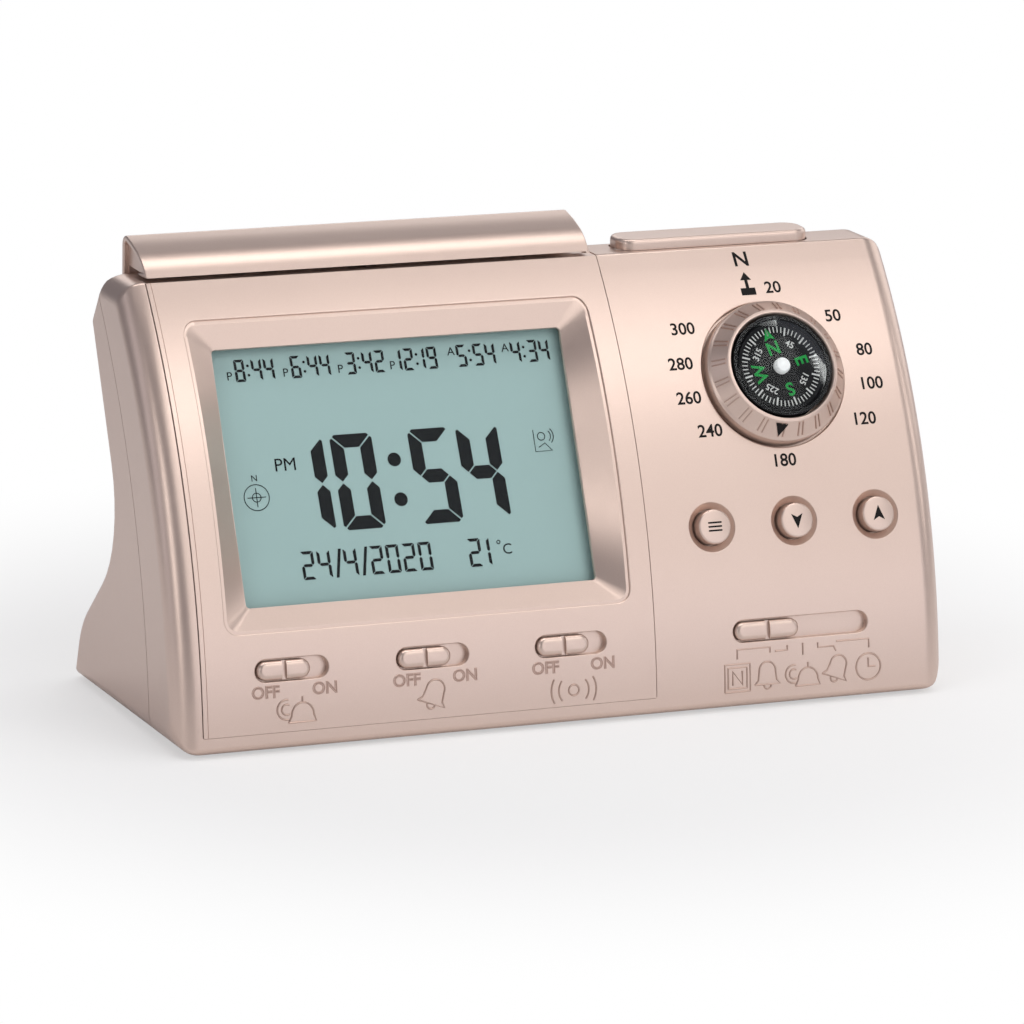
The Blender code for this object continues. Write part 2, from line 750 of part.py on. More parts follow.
def screw_frames():
    """Tags and frames of the case screws at the parting line, z pointing to the rear."""
    frames = []
    for side in (-1, 1):
        for index, height in enumerate(SCREW_HEIGHTS):
            depth = face_depth(height) + PARTING_DEPTH
            place = Matrix.Translation((side * SCREW_ACROSS, depth, height))
            frames.append((f"{side}_{index}", place @ Matrix.Rotation(-math.pi / 2, 4, "X")))
    return frames


def board_post_places():
    """Places of the control board's posts, across and up from the middle button."""
    aside = (BUTTON_ACROSS[1] - BUTTON_ACROSS[0]) / 2
    up = -BUTTON_FLANGE_RADIUS - 2 * BOARD_POST_RADIUS - FIT_GAP
    return ((-aside, up), (aside, up))


def control_board_front():
    """How far behind the face the front of the control board lies."""
    return BUTTON_STEM_REACH + BUTTON_TRAVEL + POST_CLEARANCE + MAT_DOME_RISE + MAT_THICKNESS + FIT_GAP


def keep_front_supports(cavity):
    """Take what the front half's inside carries out of its cavity, so that it stays solid."""
    ledge = band_outline(-CUT_OVERRUN, PANEL_THICKNESS + FIT_GAP + LEDGE_THICKNESS,
                         PANEL_BOTTOM - LEDGE_WIDTH, PANEL_TOP - WALL)
    cut(cavity, across_prism("left_ledge", ledge, PANEL_LEFT - LEDGE_ROOT, PANEL_LEFT + LEDGE_WIDTH))
    cut(cavity, across_prism("right_ledge", ledge, PANEL_RIGHT - LEDGE_WIDTH,
                             PANEL_RIGHT + LEDGE_ROOT))

    floor = -RECESS_SUNK - RECESS_FLOOR
    boss = [(0.0, RING_TOP), (BOSS_RADIUS, RING_TOP), (BOSS_RADIUS, -BOSS_REACH),
            (BOSS_BORE_RADIUS, -BOSS_REACH), (BOSS_BORE_RADIUS, floor), (0.0, floor)]
    cut(cavity, turned("compass_boss", boss, face_frame(COMPASS_ACROSS, COMPASS_LEVEL)))
    cut(cavity, slot_pad("mode", face_frame(MODE_SLOT_ACROSS, MODE_SLOT_LEVEL), MODE_SLOT_LENGTH))
    cut(cavity, plate("pad_well_wall", [pad_outline(PAD_WELL_WALL)], PAD_WELL_FLOOR - WALL, PAD_TOP,
                      Matrix.Identity(4)))
    for index, across in enumerate(KEY_BOARD_HANGERS):
        frame = Matrix.Translation((across, KEY_POST_DEPTH, 0.0))
        low = KEY_BOARD_HEIGHT + BOARD_THICKNESS + FIT_GAP
        cut(cavity, rod(f"hanger_{index}", HANGER_RADIUS, low, PAD_TOP, frame))
    for tag, frame in screw_frames():
        cut(cavity, rod("boss_" + tag, BOSS_POST_RADIUS, -PARTING_DEPTH - WALL, 0.0, frame))
    reach = control_board_front() - FIT_GAP
    for index, (across, up) in enumerate(board_post_places()):
        frame = face_frame(BUTTON_ACROSS[1], BUTTON_LEVEL) @ Matrix.Translation((across, up, 0.0))
        cut(cavity, rod(f"board_post_{index}", BOARD_POST_RADIUS, -reach, 0.0, frame))


def cut_foot_recesses(case, depth):
    """Round recesses for two rubber feet."""
    for side in (-1, 1):
        frame = Matrix.Translation((side * FOOT_ACROSS, depth, 0.0))
        cut(case, rod(f"foot_recess_{side}_{depth:.3f}", FOOT_RADIUS + FIT_GAP, -CUT_OVERRUN,
                      FOOT_RECESS, frame, steps=SMALL_ROUND_STEPS * 2))


def rear_wall_frame(across, height):
    """Frame on the outside of the sloping rear wall, z pointing out of it."""
    share = (height - WAIST_HEIGHT) / (CREST_HEIGHT - WAIST_HEIGHT)
    depth = WAIST_DEPTH + (CREST_DEPTH - WAIST_DEPTH) * share
    lean = math.atan2(CREST_DEPTH - WAIST_DEPTH, CREST_HEIGHT - WAIST_HEIGHT)
    turn = Matrix.Rotation(-math.pi / 2 - lean, 4, "X")
    return Matrix.Translation((across, depth, height)) @ turn


def bay_outline(wall):
    """Side outline of the battery bay, widened by a wall."""
    corners = [Vector((BAY_FRONT_DEPTH, -WALL)), Vector((BAY_FRONT_DEPTH, BAY_CEILING)),
               Vector((BAY_SLOPE_DEPTH, BAY_CEILING)), Vector((BAY_REAR_DEPTH, BAY_SLOPE_HEIGHT)),
               Vector((BAY_REAR_DEPTH, -WALL))]
    outline = []
    for index, corner in enumerate(corners):
        after = corners[(index + 1) % len(corners)]
        outline.append(inset_corner(corners[index - 1], corner, after, -wall, -wall))
    return outline


def make_rear_case():
    """Rear half of the case with the grille, screw wells and battery bay."""
    case = case_solid("rear_case", 0.0, ROSE_PAINT)
    cavity = case_solid("rear_cavity", WALL)
    half = BAY_LENGTH / 2
    left, right = BAY_ACROSS - half, BAY_ACROSS + half
    cut(cavity, across_prism("bay_walls", bay_outline(BAY_WALL), left - BAY_WALL, right + BAY_WALL))
    for tag, frame in screw_frames():
        cut(cavity, rod("well_" + tag, WELL_RADIUS, -PARTING_DEPTH, CASE_DEPTH, frame))
    cut(case, cavity)
    cut(case, parting_prism("rear_parting", SHUT_GAP))
    space = [Vector((corner.x, max(corner.y, WALL / 2))) for corner in bay_outline(0.0)]
    cut(case, across_prism("bay_space", space, left, right))
    cut_door_way(case)
    for tag, frame in screw_frames():
        seat = SHUT_GAP + WELL_FLOOR
        cut(case, rod("well_bore_" + tag, SCREW_HEAD_RADIUS + FIT_GAP, seat, CASE_DEPTH, frame))
        cut(case, rod("well_hole_" + tag, SCREW_RADIUS + FIT_GAP, -CUT_OVERRUN, seat + CUT_OVERRUN,
                      frame))
    cut_grille(case)
    cut_foot_recesses(case, FOOT_REAR_DEPTH)
    smooth(case)
    return case


def cut_door_way(case):
    """Sliding way of the battery door, open at the rear edge, and the bay's opening."""
    way_depth = CASE_DEPTH - DOOR_FRONT_DEPTH + CUT_OVERRUN
    way_middle = Matrix.Translation((BAY_ACROSS, DOOR_FRONT_DEPTH - FIT_GAP + way_depth / 2, 0.0))
    ceiling = DOOR_THICKNESS + FIT_GAP
    body_width = DOOR_WIDTH - 2 * DOOR_TONGUE_WIDTH
    lower = (body_width + 2 * FIT_GAP, way_depth, CUT_OVERRUN + ceiling)
    upper = (DOOR_WIDTH + 2 * FIT_GAP, way_depth, ceiling - DOOR_LIP)
    cut(case, block("door_way", lower, -CUT_OVERRUN, way_middle))
    cut(case, block("tongue_way", upper, DOOR_LIP, way_middle))
    opening_depth = BAY_REAR_DEPTH - BAY_FRONT_DEPTH - 2 * BAY_OPENING_MARGIN
    opening = (BAY_LENGTH - 2 * BAY_OPENING_MARGIN, opening_depth, WALL + 2 * CUT_OVERRUN)
    middle = Matrix.Translation((BAY_ACROSS, (BAY_REAR_DEPTH + BAY_FRONT_DEPTH) / 2, 0.0))
    cut(case, block("bay_opening", opening, -CUT_OVERRUN, middle))


def cut_grille(case):
    """Row of sound slots in the rear wall in front of the speaker."""
    frame = rear_wall_frame(SPEAKER_ACROSS, SPEAKER_HEIGHT)
    for index in range(GRILLE_SLOTS):
        up = (index - (GRILLE_SLOTS - 1) / 2) * GRILLE_PITCH
        length = 2 * math.sqrt(GRILLE_RADIUS ** 2 - up ** 2)
        loop = moved(capsule(length, GRILLE_SLOT_RISE), 0.0, up)
        cut(case, plate(f"grille_{index}", [loop], -2 * WALL, CUT_OVERRUN, frame))


def funnel_loop(step_in, sunk):
    """Bezel outline laid on the curved front, stepped in and sunk, in the window's frame."""
    rise = BEZEL_TOP - BEZEL_BOTTOM
    outline = rounded_rect(BEZEL_WIDTH - 2 * step_in, rise - 2 * step_in, BEZEL_FILLET - step_in,
                           FILLET_STEPS, BEZEL_SIDE_STEPS)
    to_window = window_frame().inverted()
    loop = []
    for point in outline:
        height = point.y + (BEZEL_TOP + BEZEL_BOTTOM) / 2
        lean = face_lean(height)
        depth = face_depth(height) + sunk * math.cos(lean)
        place = Vector((point.x + BEZEL_ACROSS, depth, height - sunk * math.sin(lean)))
        loop.append(to_window @ place)
    return loop


def window_loop(level):
    """Window outline at a level of the window's frame."""
    outline = rounded_rect(WINDOW_WIDTH, WINDOW_RISE, WINDOW_FILLET, FILLET_STEPS, BEZEL_SIDE_STEPS)
    return [Vector((point.x, point.y, level)) for point in outline]


def loft(name, loops, frame, finish=None):
    """Closed solid through loops of equally many points."""
    shape = bmesh.new()
    rings = [[shape.verts.new(point) for point in loop] for loop in loops]
    for lower, upper in zip(rings, rings[1:]):
        for index in range(len(lower)):
            after = (index + 1) % len(lower)
            shape.faces.new((lower[index], lower[after], upper[after], upper[index]))
    shape.faces.new(rings[0])
    shape.faces.new(rings[-1])
    mesh = bpy.data.meshes.new(name)
    shape.to_mesh(mesh)
    shape.free()
    weld(mesh)
    return add_object(name, mesh, frame, finish)


def make_display_panel():
    """Curved panel with the sloping bezel, the window and three switch slots."""
    body = band_outline(0.0, PANEL_THICKNESS, PANEL_BOTTOM + PANEL_SEAM, PANEL_TOP)
    panel = across_prism("display_panel", body, PANEL_LEFT, PANEL_RIGHT, ROSE_PAINT)
    frame = window_frame()
    back = -WINDOW_LIP - LENS_THICKNESS - FIT_GAP
    reach = WINDOW_RISE / 2 + BLOCK_MARGIN
    low = frame @ Vector((0.0, -reach, back))
    high = frame @ Vector((0.0, reach, back))
    front = arc_points(BLOCK_ROOT, BEZEL_BOTTOM - BLOCK_ROOT, BEZEL_TOP + BLOCK_ROOT, FRONT_STEPS)
    outline = front + [Vector((high.y, high.z)), Vector((low.y, low.z))]
    half = WINDOW_WIDTH / 2 + BLOCK_MARGIN
    fuse(panel, across_prism("bezel_block", outline, WINDOW_ACROSS - half, WINDOW_ACROSS + half))

    outer = funnel_loop(0.0, 0.0)
    far = [Vector((point.x, point.y, FUNNEL_REACH)) for point in outer]
    loops = [far, outer, funnel_loop(0.0, BEZEL_STEP), funnel_loop(BEZEL_LEDGE, BEZEL_STEP),
             window_loop(0.0), window_loop(-WINDOW_LIP - CUT_OVERRUN)]
    cut(panel, loft("bezel_funnel", loops, frame))
    pocket = (glass_width() + 2 * FIT_GAP, glass_rise() + 2 * FIT_GAP,
              LENS_THICKNESS + FIT_GAP + CUT_OVERRUN)
    cut(panel, block("lens_pocket", pocket, -WINDOW_LIP - pocket[2], frame))

    travel = knob_travel(SLOT_LENGTH, KNOB_LENGTH)
    for name, across in switch_places():
        place = face_frame(across, SLOT_LEVEL)
        fuse(panel, slot_pad(name, place, SLOT_LENGTH))
        cut(panel, *slot_cutters(name, place, SLOT_LENGTH, travel))
    for index, across in enumerate(switch_post_places()):
        post_frame = face_frame(across, SLOT_LEVEL)
        reach = switch_board_front() - FIT_GAP
        fuse(panel, rod(f"switch_post_{index}", BOARD_POST_RADIUS, -reach, -WALL / 2, post_frame))
    smooth(panel)
    return panel


def switch_places():
    """Names and places of the three two-position switches."""
    return (("azan_switch", AZAN_SLOT_ACROSS), ("alarm_switch", ALARM_SLOT_ACROSS),
            ("snooze_switch", SNOOZE_SLOT_ACROSS))


def switch_post_places():
    """Places between neighbouring switches, for the posts of their board."""
    return ((AZAN_SLOT_ACROSS + ALARM_SLOT_ACROSS) / 2, (ALARM_SLOT_ACROSS + SNOOZE_SLOT_ACROSS) / 2)


def switch_body_front():
    """How far behind the face a switch body starts."""
    return WALL + PAD_THICKNESS + FIT_GAP


def switch_board_front():
    """How far behind the face the board of the three switches starts."""
    return switch_body_front() + SWITCH_BODY_THICKNESS + FIT_GAP


def glass_width():
    """Width of the lens and the display glass."""
    return WINDOW_WIDTH + 2 * GLASS_OVERLAP


def glass_rise():
    """Height of the lens and the display glass along their slope."""
    return WINDOW_RISE + 2 * GLASS_OVERLAP


def make_display_stack():
    """Lens, display glass, light guide, carrier, contact strips, main board and chip."""
    frame = window_frame()
    width, rise = glass_width(), glass_rise()
    lens_back = -WINDOW_LIP - FIT_GAP - LENS_THICKNESS
    block("display_lens", (width, rise, LENS_THICKNESS), lens_back, frame, CLEAR_PLASTIC)
    lcd_back = lens_back - FIT_GAP - LCD_THICKNESS
    block("lcd_glass", (width, rise, LCD_THICKNESS), lcd_back, frame, DISPLAY_GLASS)
    guide_back = lcd_back - FIT_GAP - GUIDE_THICKNESS
    guide_rise = rise - 2 * (STRIP_WIDTH + FIT_GAP)
    block("light_guide", (width, guide_rise, GUIDE_THICKNESS), guide_back, frame, IVORY_PLASTIC)
    board_front = guide_back - 2 * FIT_GAP - STRIP_WIDTH / 4
    strip_thickness = lcd_back - 2 * FIT_GAP - board_front
    strip_size = (width - 2 * STRIP_END_INSET, STRIP_WIDTH, strip_thickness)
    for name, side in (("upper", 1), ("lower", -1)):
        place = frame @ Matrix.Translation((0.0, side * (rise - STRIP_WIDTH) / 2, 0.0))
        block(f"contact_strip_{name}", strip_size, board_front + FIT_GAP, place, SILICONE)
    inner = rounded_rect(width + 2 * FIT_GAP, rise + 2 * FIT_GAP, 0.0, 1)
    outer = rounded_rect(width + 2 * CARRIER_RIM, rise + 2 * CARRIER_RIM, 0.0, 1)
    plate("lcd_carrier", [outer, inner], board_front + FIT_GAP, lens_back - FIT_GAP, frame,
          IVORY_PLASTIC)
    board_back = board_front - BOARD_THICKNESS
    board_size = (width + 2 * CARRIER_RIM, rise + 2 * CARRIER_RIM, BOARD_THICKNESS)
    block("main_board", board_size, board_back, frame, BOARD_GREEN)
    chip_back = board_back - FIT_GAP - CHIP_THICKNESS
    rod("main_chip", CHIP_RADIUS, chip_back, chip_back + CHIP_THICKNESS, frame, BLACK_PLASTIC)


def make_knob(name, across, level, slot_length, knob_length):
    """Slide knob at the left end of its slot, with a finger groove and a stem."""
    travel = knob_travel(slot_length, knob_length)
    frame = face_frame(across, level) @ Matrix.Translation((-travel / 2, 0.0, 0.0))
    rise = SLOT_RISE - 2 * FIT_GAP
    low = -SLOT_SUNK + FIT_GAP
    knob = plate(name, [capsule(knob_length, rise)], low, KNOB_PROUD, frame, ROSE_PAINT)
    edge = knob.modifiers.new("edge", "BEVEL")
    edge.width = KNOB_EDGE
    edge.segments = 1
    edge.angle_limit = math.radians(60)
    groove = (KNOB_GROOVE, SLOT_RISE, KNOB_GROOVE_SUNK + CUT_OVERRUN)
    cut(knob, block(name + "_groove", groove, KNOB_PROUD - KNOB_GROOVE_SUNK, frame))
    stem = (STEM_LENGTH, STEM_RISE, STEM_REACH + low + KNOB_PROUD / 2)
    fuse(knob, block(name + "_stem", stem, -STEM_REACH, frame))


def make_switch_body(name, across, level, travel):
    """Housing of a slide switch, open in front for the knob's stem."""
    frame = face_frame(across, level)
    front = -switch_body_front()
    length = travel + STEM_LENGTH + 2 * FIT_GAP + 2 * SWITCH_BODY_MARGIN
    size = (length, SWITCH_BODY_RISE, SWITCH_BODY_THICKNESS)
    body = block(name, size, front - SWITCH_BODY_THICKNESS, frame, STEEL)
    way = (travel + STEM_LENGTH + 2 * FIT_GAP, STEM_RISE + 2 * FIT_GAP, STEM_REACH)
    cut(body, block(name + "_way", way, -STEM_REACH - FIT_GAP, frame))


def make_slide_switches():
    """Three two-position switches on their board, and the five-position slider."""
    travel = knob_travel(SLOT_LENGTH, KNOB_LENGTH)
    for name, across in switch_places():
        make_knob(name + "_knob", across, SLOT_LEVEL, SLOT_LENGTH, KNOB_LENGTH)
        make_switch_body(name + "_body", across, SLOT_LEVEL, travel)
    left = AZAN_SLOT_ACROSS - SLOT_LENGTH / 2 - SWITCH_BOARD_MARGIN
    right = SNOOZE_SLOT_ACROSS + SLOT_LENGTH / 2 + SWITCH_BOARD_MARGIN
    frame = face_frame((left + right) / 2, SLOT_LEVEL)
    size = (right - left, SWITCH_BOARD_RISE, BOARD_THICKNESS)
    block("switch_board", size, -switch_board_front() - BOARD_THICKNESS, frame, BOARD_GREEN)
    mode_travel = knob_travel(MODE_SLOT_LENGTH, MODE_KNOB_LENGTH)
    make_knob("mode_knob", MODE_SLOT_ACROSS, MODE_SLOT_LEVEL, MODE_SLOT_LENGTH, MODE_KNOB_LENGTH)
    make_switch_body("mode_switch_body", MODE_SLOT_ACROSS, MODE_SLOT_LEVEL, mode_travel)


def make_buttons():
    """Three push buttons over a rubber mat on the control board."""
    flange_top = -WALL - 1.5 * FIT_GAP
    flange_low = flange_top - BUTTON_FLANGE_THICKNESS
    profile = [(0.0, BUTTON_PROUD), (BUTTON_RADIUS - BUTTON_EDGE, BUTTON_PROUD),
               (BUTTON_RADIUS, BUTTON_PROUD - BUTTON_EDGE), (BUTTON_RADIUS, flange_top),
               (BUTTON_FLANGE_RADIUS, flange_top), (BUTTON_FLANGE_RADIUS, flange_low),
               (BUTTON_STEM_RADIUS, flange_low), (BUTTON_STEM_RADIUS, -BUTTON_STEM_REACH),
               (0.0, -BUTTON_STEM_REACH)]
    for name, across in zip(("set_button", "down_button", "up_button"), BUTTON_ACROSS):
        frame = face_frame(across, BUTTON_LEVEL)
        smooth(turned(name, profile, frame, ROSE_PAINT, steps=SMALL_ROUND_STEPS * 2))

    frame = face_frame(BUTTON_ACROSS[1], BUTTON_LEVEL)
    board_front = -control_board_front()
    span = BUTTON_ACROSS[2] - BUTTON_ACROSS[0]
    mat_low = board_front + FIT_GAP
    mat_top = mat_low + MAT_THICKNESS
    mat = block("button_mat", (span + 2 * MAT_MARGIN, 2 * MAT_MARGIN, MAT_THICKNESS), mat_low, frame,
                RUBBER)
    for index, across in enumerate(BUTTON_ACROSS):
        place = frame @ Matrix.Translation((across - BUTTON_ACROSS[1], 0.0, 0.0))
        fuse(mat, rod(f"mat_dome_{index}", MAT_DOME_RADIUS, mat_low + MAT_THICKNESS / 2,
                      mat_top + MAT_DOME_RISE, place))
    rise = CONTROL_BOARD_ABOVE + CONTROL_BOARD_BELOW
    place = frame @ Matrix.Translation((0.0, (CONTROL_BOARD_ABOVE - CONTROL_BOARD_BELOW) / 2, 0.0))
    size = (span + 2 * CONTROL_BOARD_MARGIN, rise, BOARD_THICKNESS)
    block("control_board", size, board_front - BOARD_THICKNESS, place, BOARD_GREEN)


def make_compass():
    """Turning ring, its retainer, and the compass that it turns round."""
    frame = face_frame(COMPASS_ACROSS, COMPASS_LEVEL)
    skirt_end = -RECESS_SUNK - RECESS_FLOOR - FIT_GAP
    base = -RECESS_SUNK + FIT_GAP
    lip_inner = RING_LIP_RADIUS - RING_LIP_WIDTH
    ring = [(lip_inner, RING_TOP), (RING_LIP_RADIUS, RING_TOP - RING_LIP_FALL),
            (RING_RADIUS - RING_SHOULDER_INSET, RING_SHOULDER), (RING_RADIUS, RING_WALL_TOP),
            (RING_RADIUS, base), (RING_SKIRT_RADIUS, base), (RING_SKIRT_RADIUS, skirt_end),
            (RING_BORE_RADIUS, skirt_end), (RING_BORE_RADIUS, RING_TOP - RING_LIP_FALL)]
    smooth(turned("direction_ring", ring, frame, ROSE_PAINT, closed=True))
    top = skirt_end - FIT_GAP
    low = top - RETAINER_THICKNESS
    retainer = [(RING_BORE_RADIUS, top), (RETAINER_RADIUS, top), (RETAINER_RADIUS, low),
                (RING_BORE_RADIUS, low)]
    smooth(turned("ring_retainer", retainer, frame, GREY_PLASTIC, closed=True))

    flange_top = -BOSS_REACH - FIT_GAP
    flange_low = flange_top - HOUSING_FLANGE_THICKNESS
    bore = HOUSING_RADIUS - HOUSING_WALL
    housing = [(0.0, HOUSING_FLOOR), (bore, HOUSING_FLOOR), (bore, HOUSING_RIM),
               (HOUSING_RADIUS, HOUSING_RIM), (HOUSING_RADIUS, flange_top),
               (HOUSING_FLANGE_RADIUS, flange_top), (HOUSING_FLANGE_RADIUS, flange_low),
               (0.0, flange_low)]
    smooth(turned("compass_housing", housing, frame, BLACK_PLASTIC))

    base_low = HOUSING_FLOOR + FIT_GAP
    base_top = base_low + PIVOT_BASE_THICKNESS
    tip = HUB_TOP - HUB_WALL - FIT_GAP
    pivot = [(0.0, tip), (PIVOT_RADIUS, tip - PIVOT_RADIUS), (PIVOT_RADIUS, base_top),
             (PIVOT_BASE_RADIUS, base_top), (PIVOT_BASE_RADIUS, base_low), (0.0, base_low)]
    turned("compass_pivot", pivot, frame, BRASS, steps=SMALL_ROUND_STEPS)
    card_top = CARD_LEVEL + CARD_THICKNESS
    hub_bore = PIVOT_RADIUS + FIT_GAP
    card = [(0.0, HUB_TOP), (HUB_RADIUS - HUB_WALL / 2, HUB_TOP), (HUB_RADIUS, HUB_TOP - HUB_WALL / 2),
            (HUB_RADIUS, card_top), (CARD_RADIUS, card_top), (CARD_RADIUS, CARD_LEVEL),
            (hub_bore, CARD_LEVEL), (hub_bore, HUB_TOP - HUB_WALL), (0.0, HUB_TOP - HUB_WALL)]
    smooth(turned("compass_card", card, frame, BLACK_PLASTIC))
    make_compass_lens(frame)


def make_compass_lens(frame):
    """Domed clear cap over the compass card."""
    low = HOUSING_RIM + FIT_GAP
    rim = low + LENS_RIM_RISE
    inner_radius = HOUSING_RADIUS - LENS_WALL
    outer = dome_points(HOUSING_RADIUS, rim, LENS_CROWN)
    inner = dome_points(inner_radius, low, LENS_CROWN + LENS_RIM_RISE - LENS_WALL)
    profile = outer + [(HOUSING_RADIUS, low)] + list(reversed(inner))
    smooth(turned("compass_lens", profile, frame, CLEAR_PLASTIC))


def dome_points(radius, rim, crown):
    """Half section of a shallow dome, from its top out to its rim."""
    ball = (radius ** 2 + crown ** 2) / (2 * crown)
    edge = math.asin(radius / ball)
    points = []
    for step in range(LENS_STEPS + 1):
        angle = edge * step / LENS_STEPS
        points.append((ball * math.sin(angle), rim + crown - ball * (1 - math.cos(angle))))
    return points


def bar_outline(inset):
    """Side outline of the bar key, moved inwards by an inset."""
    front = Vector((BAR_FRONT_DEPTH, BAR_FRONT_HEIGHT))
    brow = Vector((BAR_BROW_DEPTH, BAR_BROW_HEIGHT))
    crest = Vector((BAR_CREST_DEPTH, BAR_CREST_HEIGHT))
    heel = Vector((BAR_CREST_DEPTH, BAR_REAR_HEIGHT))
    points = [front, brow, crest, heel]
    fillets = (0.0, BAR_BROW_FILLET - inset, BAR_CREST_FILLET - inset, 0.0)
    corners = []
    for index, fillet in enumerate(fillets):
        before = points[index - 1]
        after = points[(index + 1) % len(points)]
        corners.append((inset_corner(before, points[index], after, inset, inset), fillet))
    return rounded_outline(corners, FILLET_STEPS)


def make_bar_key():
    """Long bar key over the display: a cap with sunk end plates and a post to its switch."""
    bar = across_prism("snooze_bar", bar_outline(0.0), BAR_LEFT, BAR_RIGHT, ROSE_PAINT)
    hollow = bar_outline(BAR_WALL)
    below = Vector((BAR_CREST_DEPTH - BAR_WALL, BAR_REAR_HEIGHT - 2 * BAR_WALL))
    ahead = Vector((BAR_FRONT_DEPTH + 2 * BAR_WALL, BAR_REAR_HEIGHT - 2 * BAR_WALL))
    ends = FILLET_STEPS + 1
    hollow = hollow[ends:-ends] + [below, ahead]
    end = BAR_END_SUNK + BAR_WALL
    cut(bar, across_prism("bar_hollow", hollow, BAR_LEFT + end, BAR_RIGHT - end))
    rim = bar_outline(BAR_END_RIM)
    for name, low, high in (("left", BAR_LEFT - CUT_OVERRUN, BAR_LEFT + BAR_END_SUNK),
                            ("right", BAR_RIGHT - BAR_END_SUNK, BAR_RIGHT + CUT_OVERRUN)):
        cut(bar, across_prism(f"bar_{name}_end", rim, low, high))
    shelf = SEAT_HEIGHT + BAR_TRAVEL + FIT_GAP
    clear_size = (CASE_WIDTH, CASE_DEPTH, CASE_HEIGHT)
    reach = BAR_CREST_DEPTH - BAR_WALL
    middle = Matrix.Translation((0.0, reach - CASE_DEPTH / 2, 0.0))
    cut(bar, block("bar_underside", clear_size, shelf - CASE_HEIGHT, middle))
    post_low = key_post_end(BAR_TRAVEL)
    frame = Matrix.Translation((BAR_POST_ACROSS, KEY_POST_DEPTH, 0.0))
    fuse(bar, rod("bar_post", KEY_POST_RADIUS, post_low, BAR_BROW_HEIGHT, frame))
    smooth(bar)


def key_post_end(travel):
    """Lowest level of a key's post, clear of its switch by the key's travel."""
    board_top = KEY_BOARD_HEIGHT + BOARD_THICKNESS
    return board_top + FIT_GAP + TACT_BODY_RISE + TACT_PLUNGER_RISE + POST_CLEARANCE + travel


def make_pad_key():
    """Oblong pad key on the right of the top."""
    level = Matrix.Identity(4)
    low = PAD_WELL_FLOOR + PAD_TRAVEL + POST_CLEARANCE
    key = plate("light_key", [pad_outline(0.0)], low, PAD_TOP, level, ROSE_PAINT)
    edge = key.modifiers.new("edge", "BEVEL")
    edge.width = PAD_CHAMFER
    edge.segments = 2
    edge.limit_method = "WEIGHT"
    weights = key.data.attributes.new("bevel_weight_edge", "FLOAT", "EDGE")
    for item in key.data.edges:
        heights = [key.data.vertices[index].co.z for index in item.vertices]
        if min(heights) > PAD_SKIRT:
            weights.data[item.index].value = 1.0
    middle = (PAD_LEFT + PAD_RIGHT) / 2
    frame = Matrix.Translation((middle, KEY_POST_DEPTH, 0.0))
    fuse(key, rod("pad_post", KEY_POST_RADIUS, key_post_end(PAD_TRAVEL), PAD_SKIRT, frame))
    smooth(key)


def make_key_board():
    """Narrow board under the top with a push switch for each key."""
    width = KEY_BOARD_RIGHT - KEY_BOARD_LEFT
    middle = Matrix.Translation(((KEY_BOARD_LEFT + KEY_BOARD_RIGHT) / 2, KEY_POST_DEPTH, 0.0))
    block("key_board", (width, KEY_BOARD_DEPTH, BOARD_THICKNESS), KEY_BOARD_HEIGHT, middle,
          BOARD_GREEN)
    low = KEY_BOARD_HEIGHT + BOARD_THICKNESS + FIT_GAP
    top = low + TACT_BODY_RISE
    for name, across in (("snooze", BAR_POST_ACROSS), ("light", (PAD_LEFT + PAD_RIGHT) / 2)):
        frame = Matrix.Translation((across, KEY_POST_DEPTH, 0.0))
        body = block(f"{name}_push_switch", (TACT_WIDTH, TACT_WIDTH, TACT_BODY_RISE), low, frame,
                     BLACK_PLASTIC)
        fuse(body, rod(f"{name}_plunger", TACT_PLUNGER_RADIUS, top - TACT_PLUNGER_RISE,
                       top + TACT_PLUNGER_RISE, frame))


def make_speaker():
    """Small speaker behind the grille: basket, magnet and cone."""
    wall = rear_wall_frame(SPEAKER_ACROSS, SPEAKER_HEIGHT)
    front = -WALL - FIT_GAP
    rim_low = front - SPEAKER_RIM_THICKNESS
    basket_low = rim_low - SPEAKER_BASKET_DEPTH
    bore = SPEAKER_RADIUS - SPEAKER_RIM_WIDTH
    throat = CONE_THROAT_RADIUS + CONE_WALL + 2 * FIT_GAP
    inside = basket_low + SPEAKER_BASKET_WALL
    basket = [(bore, front), (SPEAKER_RADIUS, front), (SPEAKER_RADIUS, rim_low),
              (SPEAKER_BASKET_RADIUS, basket_low), (throat, basket_low), (throat, inside),
              (SPEAKER_BASKET_RADIUS - SPEAKER_BASKET_WALL, inside), (bore, rim_low)]
    smooth(turned("speaker_frame", basket, wall, STEEL, closed=True))
    magnet_top = basket_low - FIT_GAP
    rod("speaker_magnet", MAGNET_RADIUS, magnet_top - MAGNET_THICKNESS, magnet_top, wall, GREY_PLASTIC,
        steps=SMALL_ROUND_STEPS * 2)
    edge = bore - FIT_GAP
    slope_low = inside + FIT_GAP
    cone = [(edge, front - FIT_GAP), (edge, front - FIT_GAP - CONE_WALL),
            (CONE_THROAT_RADIUS, slope_low + CONE_WALL), (0.0, slope_low + CONE_WALL)]
    back = [(CONE_THROAT_RADIUS, slope_low + 2 * CONE_WALL)]
    shell = [(0.0, slope_low + 2 * CONE_WALL)] + back + cone
    smooth(turned("speaker_cone", shell, wall, PAPER))


